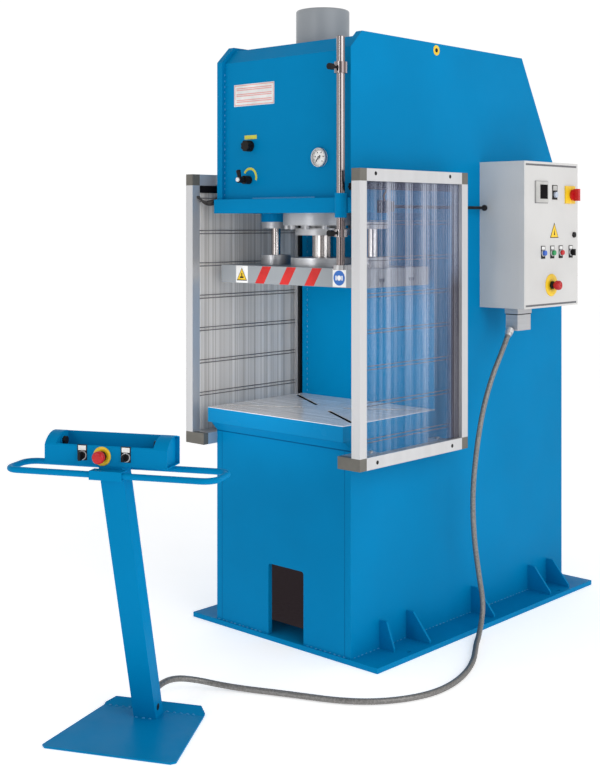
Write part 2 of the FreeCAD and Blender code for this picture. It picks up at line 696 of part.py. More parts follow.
def cabinet_door():
    y0, y1 = CABINET_Y
    z0, z1 = CABINET_Z
    back = DOOR_X + SLIDING
    w = DOOR_WALL
    door = box(back, DOOR_FACE, y0, y1, z0, z1)
    door = door.cut(box(back - 1, DOOR_FACE - w, y0 + w, y1 - w, z0 + w, z1 - w))
    stems = [((y, DOOR_ROW_Z), PUSH_STEM_R) for y in DOOR_BUTTONS.values()]
    stems += [((DOOR_SELECTOR_Y, DOOR_ROW_Z), PUSH_STEM_R), (MAIN_SWITCH, PUSH_STEM_R),
              (DOOR_LOCK, PUSH_STEM_R), (DOOR_ESTOP, ESTOP_STEM_R)]
    for place, radius in stems:
        door = door.cut(door_hole(place, radius))
    return door


def door_rod(place, radius, start, end):
    y, z = place
    return rod(radius, (DOOR_FACE + start, y, z), (DOOR_FACE + end, y, z))


def door_push_button(y):
    place = (y, DOOR_ROW_Z)
    stem = door_rod(place, PUSH_STEM_R, -PUSH_STEM_L, PUSH_TRAVEL + 3)
    return stem.fuse(door_rod(place, PUSH_HEAD_R, PUSH_TRAVEL + 3, PUSH_TRAVEL + 11))


def door_selector():
    place = (DOOR_SELECTOR_Y, DOOR_ROW_Z)
    stem = door_rod(place, PUSH_STEM_R, -PUSH_STEM_L, 3)
    disc = door_rod(place, PUSH_HEAD_R, 3, 9)
    y, z = place
    handle = box(DOOR_FACE + 9, DOOR_FACE + 24, y - 4, y + 4, z - 14, z + 14)
    return fused([stem, disc, handle])


def door_estop_button():
    stem = door_rod(DOOR_ESTOP, ESTOP_STEM_R, -PUSH_STEM_L, 26)
    head = door_rod(DOOR_ESTOP, ESTOP_HEAD_R, 26, 46)
    rims = [e for e in head.Edges if e.BoundBox.XMin > DOOR_FACE + 45]
    return stem.fuse(head.makeFillet(8, rims))


def main_switch_knob():
    y, z = MAIN_SWITCH
    stem = door_rod(MAIN_SWITCH, PUSH_STEM_R, -PUSH_STEM_L, 7)
    disc = door_rod(MAIN_SWITCH, 24, 7, 17)
    handle = box(DOOR_FACE + 17, DOOR_FACE + 40, y - 8, y + 8, z - 26, z + 26)
    return fused([stem, disc, handle])


def door_lock():
    y, z = DOOR_LOCK
    stem = door_rod(DOOR_LOCK, PUSH_STEM_R, -DOOR_T + 1, 0.5)
    head = door_rod(DOOR_LOCK, 12, 0.5, 7)
    key_slot = box(DOOR_FACE + 4, DOOR_FACE + 8, y - 1.5, y + 1.5, z - 7, z + 7)
    return stem.fuse(head).cut(key_slot)


# ---- connector and conduit ---------------------------------------------------------------
def gland_frame():
    """The point where the conduit starts and its direction out of the connector."""
    start = Vec(*CONDUIT_ROUTE[0])
    return start, (Vec(*CONDUIT_ROUTE[1]) - start).normalize()


def connector_housing():
    x0, x1 = CONNECTOR_X
    y0, y1 = CONNECTOR_Y
    top = CABINET_Z[0] - CONNECTOR_BASE_H
    base = box(x0 - 3, x1 + 3, y0 - 3, y1 + 3, top, CABINET_Z[0])
    hood = base.fuse(box(x0, x1, y0, y1, top - CONNECTOR_HOOD_H, top))
    start, out = gland_frame()
    face = start - out * CONDUIT_GLAND_L
    away = Part.makeBox(200, 200, 200, Vec(-100, -100, 0))
    away.Placement = FreeCAD.Placement(face, FreeCAD.Rotation(Z_AXIS, out))
    return hood.cut(away)


def ring_on(at, along, length, outer, inner):
    end = at + along * length
    return tube(outer, inner, tuple(at), tuple(end))


def conduit_gland():
    start, out = gland_frame()
    nut = ring_on(start - out * CONDUIT_GLAND_L, out, CONDUIT_GLAND_L * 0.6, CONDUIT_GLAND_R, 8)
    sleeve = ring_on(start - out * CONDUIT_GLAND_L * 0.4, out, CONDUIT_GLAND_L * 0.4,
                     CONDUIT_R + 2.5, 8)
    last = Vec(*CONDUIT_ROUTE[-1])
    enter = (last - Vec(*CONDUIT_ROUTE[-2])).normalize()
    foot_nut = Part.makeCylinder(CONDUIT_GLAND_R, 60, last, enter)
    foot_nut = foot_nut.cut(Part.makeCylinder(8, 70, last - enter, enter))
    return Part.makeCompound([nut.fuse(sleeve), foot_nut.cut(console(leaning_post_block()))])


def conduit_path():
    points = [Vec(*p) for p in CONDUIT_ROUTE]
    edges = []
    here = points[0]
    for before, corner, after in zip(points, points[1:], points[2:]):
        back = before - corner
        ahead = after - corner
        run = min(back.Length, ahead.Length)
        turn = math.pi - back.getAngle(ahead)
        radius = 0.45 * run / math.tan(turn / 2)
        print("conduit radius %.0f" % radius)
        back.normalize()
        ahead.normalize()
        enter = corner + back * (0.45 * run)
        leave = corner + ahead * (0.45 * run)
        inwards = (back + ahead).normalize()
        middle = corner + inwards * (radius / math.cos(turn / 2) - radius)
        edges.append(Part.LineSegment(here, enter).toShape())
        edges.append(Part.Arc(enter, middle, leave).toShape())
        here = leave
    edges.append(Part.LineSegment(here, points[-1]).toShape())
    return Part.Wire(edges)


def conduit():
    path = conduit_path()
    start, out = gland_frame()
    section = Part.Wire([Part.makeCircle(CONDUIT_R, start, out)])
    solid = path.makePipeShell([section], True, False)
    print("conduit length %.0f, volume ratio %.4f"
          % (path.Length, solid.Volume / (path.Length * math.pi * CONDUIT_R ** 2)))
    return solid


# ---- console -----------------------------------------------------------------------------
def console(shape):
    """A shape from the console's own frame, put at its place on the floor."""
    placed = shape.copy()
    placed.rotate(Vec(0, 0, 0), Z_AXIS, CONSOLE_TURN)
    placed.translate(Vec(*CONSOLE_AT, 0))
    return placed


def pedestal_base():
    y0, y1 = FOOT_Y
    f, r, c = FOOT_FRONT_HALF, FOOT_REAR_HALF, FOOT_CORNER
    flat = prism([(-f + c, y0, 0), (f - c, y0, 0), (f, y0 + c, 0), (r, y1, 0), (-r, y1, 0),
                  (-f, y0 + c, 0)], (0, 0, FOOT_T))
    fold = side_prism([(y1, 0), (y1 + FOOT_FOLD_L, FOOT_FOLD_RISE),
                       (y1 + FOOT_FOLD_L, FOOT_FOLD_RISE + FOOT_T), (y1, FOOT_T)], -r, r)
    tip = y1 + FOOT_FOLD_L
    clips = [prism([(side * (r - 26), tip + 1, -1), (side * (r + 1), tip + 1, -1),
                    (side * (r + 1), y1 + 12, -1)], (0, 0, 60)) for side in (-1, 1)]
    return console(fused([flat, fold.cut(clips[0]).cut(clips[1])]))


def post_section(inset_by, low, high):
    """A leaning box of the post's section, inset by a wall, between two heights."""
    lean = math.tan(math.radians(POST_LEAN))
    depth = POST_D / math.cos(math.radians(POST_LEAN))
    wall = inset_by / math.cos(math.radians(POST_LEAN))
    half = POST_W / 2 - inset_by
    corners = []
    for y, z in ((POST_FRONT_Y + wall, low), (POST_FRONT_Y + depth - wall, low),
                 (POST_FRONT_Y + depth - wall, high), (POST_FRONT_Y + wall, high)):
        corners.append((-half, y - lean * (z - FOOT_T), z))
    return prism(corners, (2 * half, 0, 0))


def leaning_post_block():
    return post_section(0, FOOT_T, HOOD_Z)


def post_front_y(z):
    return POST_FRONT_Y - math.tan(math.radians(POST_LEAN)) * (z - FOOT_T)


def pedestal_post():
    post = leaning_post_block().cut(post_section(POST_WALL, FOOT_T - 5, HOOD_Z + 5))
    inner = RAIL_R + SEAT
    front = HAND_RAIL_Y[0] - inner
    low, high = HAND_RAIL_Z - inner, HAND_RAIL_Z + inner
    back = post_front_y(high + STRAP_T)
    strap = box(-STRAP_W / 2, STRAP_W / 2, front - STRAP_T, back, low - STRAP_T, high + STRAP_T)
    strap = strap.cut(box(-STRAP_W, STRAP_W, front, back + 30, low, high))
    ties = box(-POST_W / 2, POST_W / 2, HAND_RAIL_Y[0] + inner + 1, post_front_y(low - STRAP_T),
               low - STRAP_T, high + STRAP_T)
    outside = post_section(0, low - STRAP_T, high + STRAP_T)
    side_hole = rod(6, (0, 158, 42), (POST_W, 158, 42))
    wire_hole = rod(8, (0, post_front_y(72) + POST_D / 2, 72), (0, post_front_y(72) + 2 * POST_D, 72))
    return console(fused([post, strap, ties.cut(outside)]).cut(side_hole).cut(wire_hole))


def hand_rail():
    x, c = HAND_RAIL_X - RAIL_R, HAND_RAIL_CORNER
    y0, y1 = HAND_RAIL_Y
    edges = []
    for sx, sy, turn in ((1, 1, 0), (-1, 1, 90), (-1, -1, 180), (1, -1, 270)):
        centre = Vec(sx * (x - c), (y1 if sy > 0 else y0) - sy * c, HAND_RAIL_Z)
        edges.append(Part.makeCircle(c, centre, Z_AXIS, turn, turn + 90))
    lines = []
    for i in range(4):
        end = edges[i].Vertexes[-1].Point
        begin = edges[(i + 1) % 4].Vertexes[0].Point
        lines.append(Part.LineSegment(end, begin).toShape())
    ring = Part.Wire([e for pair in zip(edges, lines) for e in pair])
    start = edges[0].Vertexes[0].Point
    section = Part.Wire([Part.makeCircle(RAIL_R, start, Y_AXIS)])
    return console(ring.makePipeShell([section], True, False))


def hood_outline(wall):
    y0, y1 = HOOD_Y[0] + wall, HOOD_Y[1] - wall
    knee = HOOD_Z + HOOD_FRONT_H
    top = HOOD_TOP - wall
    return y0, y1, knee, top


def hood_block(wall, span, low):
    """The hood's form: upright front, a round shoulder to the ridge, upright back."""
    y0, y1, knee, top = hood_outline(wall)
    x0, x1 = span
    ridge = y1 - 22
    shoulder = Vec(x0, y0 + (ridge - y0) * 0.30, knee + (top - knee) * 0.72)
    edges = [Part.LineSegment(Vec(x0, y0, low), Vec(x0, y0, knee)).toShape(),
             Part.Arc(Vec(x0, y0, knee), shoulder, Vec(x0, ridge, top)).toShape(),
             Part.LineSegment(Vec(x0, ridge, top), Vec(x0, y1, top - 6)).toShape(),
             Part.LineSegment(Vec(x0, y1, top - 6), Vec(x0, y1, low)).toShape(),
             Part.LineSegment(Vec(x0, y1, low), Vec(x0, y0, low)).toShape()]
    return Part.Face(Part.Wire(edges)).extrude(Vec(x1 - x0, 0, 0))


def widened(span, by):
    return span[0] - by, span[1] + by


def console_hood():
    t = HOOD_T
    whole = hood_block(0, HOOD_X, HOOD_Z)
    shell = whole.cut(hood_block(t, widened(HOOD_X, 1), HOOD_Z + t))
    y0, y1 = TROUGH_Y
    room = box(*TROUGH_X, y0, y1, TROUGH_FLOOR, HOOD_TOP + 10)
    tray = box(*widened(TROUGH_X, t), y0 - t, y1 + t, TROUGH_FLOOR - t, HOOD_TOP)
    plates = widened(HOOD_X, -END_PLATE_IN)
    ends = hood_block(t / 2, plates, HOOD_Z + 1)
    ends = ends.cut(hood_block(0, widened(plates, -t), HOOD_Z - 1))
    hood = fused([shell, tray.common(whole), ends]).cut(room)
    y, z = HAND_BUTTON_YZ
    x0, x1 = widened(TROUGH_X, 9)
    hood = hood.cut(rod(PUSH_STEM_R + SLIDING, (x0, y, z), (x1, y, z)))
    front = HOOD_Y[0]
    for x, radius in ((CONSOLE_SELECTOR_X, PUSH_STEM_R), (CONSOLE_KEY_X, PUSH_STEM_R),
                      (CONSOLE_ESTOP_X, ESTOP_STEM_R)):
        hood = hood.cut(rod(radius + SLIDING, (x, front - 5, CONSOLE_CTRL_Z),
                            (x, front + t + 5, CONSOLE_CTRL_Z)))
    return console(hood)


def front_rod(x, radius, start, end):
    """A round piece on the hood's front, from start to end in front of its face."""
    y = HOOD_Y[0]
    return rod(radius, (x, y - start, CONSOLE_CTRL_Z), (x, y - end, CONSOLE_CTRL_Z))


def console_selector():
    x, y, z = CONSOLE_SELECTOR_X, HOOD_Y[0], CONSOLE_CTRL_Z
    handle = box(x - 4, x + 4, y - 24, y - 9, z - 14, z + 14)
    return console(fused([front_rod(x, PUSH_STEM_R, -20, 3), front_rod(x, 12, 3, 9), handle]))


def console_key():
    x, y, z = CONSOLE_KEY_X, HOOD_Y[0], CONSOLE_CTRL_Z
    key = box(x - 1.2, x + 1.2, y - 26, y - 8, z - 9, z + 9)
    return console(fused([front_rod(x, PUSH_STEM_R, -20, 3), front_rod(x, 12, 3, 8), key]))


def console_estop_button():
    x = CONSOLE_ESTOP_X
    head = front_rod(x, ESTOP_HEAD_R, 20, 38)
    rims = [e for e in head.Edges if e.BoundBox.YMax < HOOD_Y[0] - 37]
    return console(front_rod(x, ESTOP_STEM_R, -20, 20).fuse(head.makeFillet(8, rims)))


def hand_button(side):
    y, z = HAND_BUTTON_YZ
    wall = TROUGH_X[1] if side > 0 else TROUGH_X[0]
    stem = rod(PUSH_STEM_R, (wall + side * HAND_STEM_L, y, z), (wall - side * 5, y, z))
    head = rod(HAND_BUTTON_R, (wall - side * 5, y, z), (wall - side * 14, y, z))
    return console(stem.fuse(head))


# ---- every node --------------------------------------------------------------------------
def make_parts():
    plate = side_plate()
    parts = {
        "base_plate": base_plate(), "side_plate_right": plate,
        "side_plate_left": mirror_x(plate), "lower_front_plate": lower_front_plate(),
        "throat_plate": throat_plate(), "rear_cover": rear_cover(),
        "head_base_plate": head_base_plate(), "head_cover": head_cover(),
        "table_plate": table_plate(), "bed_ledge": bed_ledge(), "base_gussets": base_gussets(),
        "cylinder_barrel": cylinder_barrel(), "cylinder_flange": cylinder_flange(),
        "rod_gland": rod_gland(), "flange_bolts": flange_bolts(),
        "guide_housings": guide_housings(), "guide_bushes": guide_bushes(),
        "stop_rod_bushing": stop_rod_bushing(), "lever_bracket": lever_bracket(),
        "guard_profiles": guard_profiles(), "guard_corners": guard_corners(),
        "guard_sheets": both_sides(guard_sheet()), "guard_brackets": guard_brackets(),
        "pressure_gauge": pressure_gauge(), "cabinet_box": cabinet_box(),
        "connector_housing": connector_housing(),
        "conduit_gland": conduit_gland(), "conduit": conduit(),
        "pedestal_base": pedestal_base(), "pedestal_post": pedestal_post(),
        "hand_rail": hand_rail(), "console_hood": console_hood(),
        "ram": ram(), "ram_flange": ram_flange(), "platen": platen(),
        "guide_rods": guide_rods(), "guide_collars": guide_collars(), "stop_rod": stop_rod(),
        "stop_rod_lug": stop_rod_lug(), "stop_collar_upper": stop_collar(UPPER_COLLAR_Z),
        "stop_collar_lower": stop_collar(LOWER_COLLAR_Z),
        "clamp_knob_upper": clamp_knob(UPPER_COLLAR_Z),
        "clamp_knob_lower": clamp_knob(LOWER_COLLAR_Z), "hand_lever": hand_lever(),
        "gauge_needle": gauge_needle(), "pressure_knob": pressure_knob(),
        "speed_lever": speed_lever(), "cabinet_door": cabinet_door(),
        "main_switch_knob": main_switch_knob(), "door_estop_button": door_estop_button(),
        "door_selector": door_selector(), "door_lock": door_lock(),
        "console_selector": console_selector(), "console_key": console_key(),
        "console_estop_button": console_estop_button(), "hand_button_left": hand_button(-1),
        "hand_button_right": hand_button(1)}
    for name, y in DOOR_BUTTONS.items():
        parts[name] = door_push_button(y)
    return parts


os.makedirs("parts", exist_ok=True)
for node, shape in make_parts().items():
    if not shape.isValid():
        print("not valid:", node)
    shape.exportStep("parts/%s.step" % node)
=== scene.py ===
import bmesh
import bpy
import math
import random
from mathutils import Matrix, Vector


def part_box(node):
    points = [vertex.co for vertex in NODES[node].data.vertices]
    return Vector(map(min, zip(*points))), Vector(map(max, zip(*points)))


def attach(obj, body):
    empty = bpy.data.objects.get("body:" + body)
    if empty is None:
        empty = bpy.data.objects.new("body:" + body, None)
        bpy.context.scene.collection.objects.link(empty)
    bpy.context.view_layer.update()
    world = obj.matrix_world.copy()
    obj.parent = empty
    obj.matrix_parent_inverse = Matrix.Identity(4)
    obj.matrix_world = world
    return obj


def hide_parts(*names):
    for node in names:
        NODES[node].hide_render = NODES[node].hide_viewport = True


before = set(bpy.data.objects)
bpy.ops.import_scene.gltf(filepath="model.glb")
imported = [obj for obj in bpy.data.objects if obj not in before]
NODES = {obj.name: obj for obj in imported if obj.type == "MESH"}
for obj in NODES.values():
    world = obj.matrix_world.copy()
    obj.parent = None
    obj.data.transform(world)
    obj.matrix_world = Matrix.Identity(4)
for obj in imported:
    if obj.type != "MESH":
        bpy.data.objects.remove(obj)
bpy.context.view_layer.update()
RNG = random.Random(7)

# ---- camera --------------------------------------------------------------------------------
CAMERA_AT = (3.406, -3.833, 1.660)
CAMERA_TURN = 42.7  # degrees
LENS = 58.07  # millimetres
SHIFT = (0.001, -0.2144)

# ---- the console's own frame, and places in it ---------------------------------------------
CONSOLE = Matrix.Translation((0.2567, -1.238, 0)) @ Matrix.Rotation(math.radians(26.2), 4, "Z")
HOOD_FRONT = -0.130
HOOD_CTRL_Z = 0.926
CONSOLE_CTRL_X = {"selector": -0.095, "estop": -0.027, "key": 0.054}

# ---- faces that carry details --------------------------------------------------------------
FRAME_FRONT = -0.250
PLATEN_LOW, PLATEN_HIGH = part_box("platen")
DOOR_LOW, DOOR_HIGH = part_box("cabinet_door")
DOOR_X = DOOR_HIGH[0]
COVER_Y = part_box("head_cover")[0][1]
SIDE_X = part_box("side_plate_right")[1][0]
SIDE_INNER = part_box("side_plate_right")[0][0]
HEAD_BASE_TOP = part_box("head_base_plate")[1][2]
THROAT_Y = 0.272
TABLE_LOW, TABLE_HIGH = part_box("table_plate")
TABLE_TOP = TABLE_HIGH[2]

# ---- colours that several finishes share ---------------------------------------------------
BLUE = (0.0, 0.205, 0.45)
# near black: painted shade inside the table's slots
PAINTED_SLOT_SHADE = (0.008, 0.008, 0.009)


# ---- materials -----------------------------------------------------------------------------
NOISE_LOW, NOISE_HIGH = 0.35, 0.65  # the stretch of a noise's output that carries the variation


class Shade:
    """A node material whose colour, roughness and bump come from procedural textures."""

    def __init__(self, name, colour, metallic=0.0, roughness=0.5, coat=0.0):
        self.mat = bpy.data.materials.new(name)
        self.mat.use_nodes = True
        self.tree = self.mat.node_tree
        self.bsdf = self.tree.nodes["Principled BSDF"]
        self.colour = colour
        self.bsdf.inputs["Metallic"].default_value = metallic
        self.bsdf.inputs["Roughness"].default_value = roughness
        self.bsdf.inputs["Coat Weight"].default_value = coat
        self.coords = self.node("ShaderNodeTexCoord").outputs["Object"]

    def node(self, kind, **values):
        made = self.tree.nodes.new(kind)
        for key, value in values.items():
            setattr(made, key, value)
        return made

    def link(self, start, end):
        self.tree.links.new(start, end)

    def feed(self, value, socket):
        """Links another node's output to the socket, or sets a plain value on it."""
        if isinstance(value, bpy.types.NodeSocket):
            self.link(value, socket)
        else:
            socket.default_value = value

    def axes(self):
        """The surface point's own X, Y and Z."""
        split = self.node("ShaderNodeSeparateXYZ")
        self.link(self.coords, split.inputs[0])
        return [split.outputs[axis] for axis in "XYZ"]

    def stretched(self, scale):
        mapping = self.node("ShaderNodeMapping")
        mapping.inputs["Scale"].default_value = scale
        self.link(self.coords, mapping.inputs["Vector"])
        return mapping.outputs["Vector"]

    def noise(self, scale, detail=3.0, vector=None):
        made = self.node("ShaderNodeTexNoise")
        made.inputs["Scale"].default_value = scale
        made.inputs["Detail"].default_value = detail
        self.link(vector or self.coords, made.inputs["Vector"])
        return made.outputs["Fac"]

    def ranged(self, source, low, high, start=NOISE_LOW, end=NOISE_HIGH):
        made = self.node("ShaderNodeMapRange")
        made.inputs["From Min"].default_value = start
        made.inputs["From Max"].default_value = end
        made.inputs["To Min"].default_value = low
        made.inputs["To Max"].default_value = high
        self.link(source, made.inputs["Value"])
        return made.outputs["Result"]

    def math(self, operation, *values):
        made = self.node("ShaderNodeMath", operation=operation)
        for value, socket in zip(values, made.inputs):
            self.feed(value, socket)
        return made.outputs["Value"]

    def mixed(self, factor, a, b, kind="RGBA"):
        """From a to b by factor; both may be plain values."""
        made = self.node("ShaderNodeMix", data_type=kind)
        self.link(factor, made.inputs["Factor"])
        for name, value in (("A", a), ("B", b)):
            socket = [k for k in made.inputs if k.name == name and k.enabled][0]
            self.feed(value, socket)
        return [k for k in made.outputs if k.enabled][0]

    def ramp(self, source, stops):
        """A colour ramp's outputs; each stop is a position and a colour with its alpha."""
        made = self.node("ShaderNodeValToRGB")
        elements = made.color_ramp.elements
        while len(elements) < len(stops):
            elements.new(0.5)
        for element, (position, colour) in zip(elements, stops):
            element.position = position
            element.color = colour
        self.link(source, made.inputs["Fac"])
        return made.outputs

    def vary_colour(self, source, amount=0.12, other=None):
        dark = other or tuple(c * (1 - amount) for c in self.colour)
        light = self.colour if other else tuple(min(1, c * (1 + amount)) for c in self.colour)
        ramp = self.ramp(source, ((NOISE_LOW, (*dark, 1)), (NOISE_HIGH, (*light, 1))))
        self.link(ramp["Color"], self.bsdf.inputs["Base Color"])
        return self

    def vary_roughness(self, source, low, high):
        self.link(self.ranged(source, low, high), self.bsdf.inputs["Roughness"])
        return self

    def bump(self, source, strength, distance):
        made = self.node("ShaderNodeBump")
        made.inputs["Strength"].default_value = strength
        made.inputs["Distance"].default_value = distance
        self.link(source, made.inputs["Height"])
        self.link(made.outputs["Normal"], self.bsdf.inputs["Normal"])
        return self


def painted(name, colour, rough=(0.34, 0.46), peel=420.0, strength=0.12, coat=0.0, gloss=0.4,
            ior=1.5):
    """Sprayed enamel: an orange-peel bump, soft clouding and slightly uneven roughness."""
    shade = Shade(name, colour, roughness=rough[0], coat=coat)
    shade.bsdf.inputs["Specular IOR Level"].default_value = gloss
    shade.bsdf.inputs["IOR"].default_value = ior
    shade.vary_colour(shade.noise(2.2, 4), 0.05)
    shade.vary_roughness(shade.noise(9, 5), *rough)
    return shade.bump(shade.noise(peel, 2), strength, 0.0006).mat


def brushed(name, colour, scale, rough=(0.26, 0.42), metallic=0.9, lines_by=0.10):
    """Machined or drawn metal with fine lines along one direction."""
    shade = Shade(name, colour, metallic=metallic, roughness=rough[0])
    lines = shade.noise(1.0, 4, shade.stretched(scale))
    shade.vary_colour(lines, lines_by)
    shade.vary_roughness(lines, *rough)
    return shade.bump(lines, lines_by, 0.0002).mat


def table_finish():
    """Ground steel on the top face, raised near white as painted light, enamel on the sides and
    painted shade inside the slots.
    """
    shade = Shade("table_finish", (0.50, 0.50, 0.51), metallic=0.6, roughness=0.35)
    lines = shade.noise(1.0, 4, shade.stretched((3, 260, 3)))
    swirl = shade.noise(5.0, 4)
    shade.bsdf.inputs["Specular IOR Level"].default_value = 0.06
    x, y, z = shade.axes()
    bevel = 0.002
    top = shade.ranged(z, 0.0, 1.0, TABLE_TOP - bevel - 0.0002, TABLE_TOP - bevel + 0.0002)
    # painted light: the top's steel colour is raised near white against the shade of the head above
    # it
    steel = shade.ramp(swirl, ((0.3, (0.82, 0.79, 0.785, 1)), (0.7, (1.0, 0.985, 0.975, 1))))
    # the slot walls lie inside the plate's outline and under its top; they take the painted shade
    skin = 0.004
    slot_shade_mask = [shade.math("COMPARE", place, (low + high) / 2, (high - low) / 2 - skin)
              for place, low, high in zip((x, y), TABLE_LOW, TABLE_HIGH)]
    sides_and_slot_shade = shade.mixed(shade.math("MULTIPLY", *slot_shade_mask), (*BLUE, 1), (*PAINTED_SLOT_SHADE, 1))
    shade.link(shade.mixed(top, sides_and_slot_shade, steel["Color"]), shade.bsdf.inputs["Base Color"])
    shade.link(shade.math("MULTIPLY", top, 0.28), shade.bsdf.inputs["Metallic"])
    shade.vary_roughness(lines, 0.16, 0.30)
    return shade.bump(lines, 0.04, 0.0002).mat


def polished(name, colour, dark):
    """Hard chrome: fine rings from grinding, with duller and brighter upright streaks of painted
    reflection.
    """
    shade = Shade(name, colour, metallic=1.0, roughness=0.14)
    streaks = shade.noise(1.0, 2, shade.stretched((70, 70, 0.8)))
    shade.vary_colour(streaks, other=dark)
    shade.vary_roughness(streaks, 0.12, 0.24)
    return shade.bump(shade.noise(1.0, 2, shade.stretched((3, 3, 500))), 0.015, 0.0001).mat


def moulded(name, colour, rough=(0.32, 0.5), grain=900.0, gloss=0.5):
    """Moulded plastic with a fine spark-eroded grain."""
    shade = Shade(name, colour, roughness=rough[0])
    shade.bsdf.inputs["Specular IOR Level"].default_value = gloss
    shade.vary_colour(shade.noise(14, 3), 0.10)
    shade.vary_roughness(shade.noise(60, 3), *rough)
    return shade.bump(shade.noise(grain, 2), 0.15, 0.0004).mat


# the smoky flutes' colours are raised near white as painted light, for the left sheet in the head's
# shade
# colour and alpha of the flutes, from their shaded to their lit side
SMOKY_FLUTES_PAINTED_LIGHT = ((0.00, (0.54, 0.51, 0.48, 0.90)), (0.50, (0.74, 0.71, 0.68, 0.84)),
                (1.00, (0.96, 0.93, 0.90, 0.76)))
CLEAR_FLUTES = ((0.00, (0.05, 0.04, 0.08, 0.30)), (0.38, (0.18, 0.21, 0.33, 0.15)),
                (0.62, (0.34, 0.41, 0.58, 0.11)), (1.00, (0.75, 0.78, 0.90, 0.24)))
REAR_BAND = (0.035, 0.025, 0.03, 1)


def fluted_sheet():
    """Twin-wall plastic with upright flutes: smoky on the left side, its colours raised there as
    painted light, clearer on the right.

    The right sheet grows hazier towards its rear and top, and ends in a dark band."""
    shade = Shade("fluted_sheet", (0.42, 0.45, 0.58), roughness=0.3)
    shade.bsdf.inputs["Specular IOR Level"].default_value = 0.2
    shade.bsdf.inputs["IOR"].default_value = 1.4
    front, rear = (corner[1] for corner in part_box("guard_sheets"))
    x, y, z = shade.axes()
    right = shade.ranged(x, 0.0, 1.0, -0.01, 0.01)
    flutes = shade.noise(1.0, 2, shade.stretched((1, 150, 0.2)))
    wide = shade.ranged(shade.noise(1.0, 1, shade.stretched((1, 16, 0.9))), 0.0, 0.35, 0.0, 1.0)
    both = shade.ranged(shade.math("ADD", flutes, wide), 0.0, 1.0, 0.52, 0.83)
    smoky, clear = shade.ramp(both, SMOKY_FLUTES_PAINTED_LIGHT), shade.ramp(both, CLEAR_FLUTES)
    haze = shade.math("MULTIPLY", shade.ranged(y, 0.75, 1.35, front + 0.1, rear - 0.1),
                      shade.ranged(z, 0.50, 1.45, 0.95, 1.65))
    edge = shade.math("MULTIPLY", shade.ranged(y, 0.0, 1.0, rear - 0.10, rear - 0.05),
                      shade.ranged(z, 0.85, 0.35, 1.40, 1.50))
    colour = shade.mixed(edge, clear["Color"], REAR_BAND)
    alpha = shade.mixed(edge, shade.math("MULTIPLY", clear["Alpha"], haze), 0.85, "FLOAT")
    shade.link(shade.mixed(right, smoky["Color"], colour), shade.bsdf.inputs["Base Color"])
    shade.link(shade.mixed(right, smoky["Alpha"], alpha, "FLOAT"), shade.bsdf.inputs["Alpha"])
    return shade.bump(flutes, 0.25, 0.001).mat


def ribbed_conduit():
    """Dull, speckled metal for the wound conduit, whose rings are in its mesh."""
    shade = Shade("ribbed_conduit", (0.22, 0.213, 0.205), metallic=0.5, roughness=0.4)
    speckle = shade.noise(150, 3)
    shade.vary_colour(speckle, 0.25)
    shade.vary_roughness(speckle, 0.34, 0.5)
    return shade.bump(speckle, 0.3, 0.0006).mat


def painted_shade_glow(name, colour):
    """Painted shade for a surface far inside an opening: near black and matt, with a painted glow
    for the little light that reaches it.
    """
    mat = moulded(name, colour, rough=(0.6, 0.8), gloss=0.1)
    glow = mat.node_tree.nodes["Principled BSDF"].inputs
    # painted light: a faint glow in the surface's own colour
    glow["Emission Color"].default_value = (*colour, 1)
    glow["Emission Strength"].default_value = 0.45
    return mat


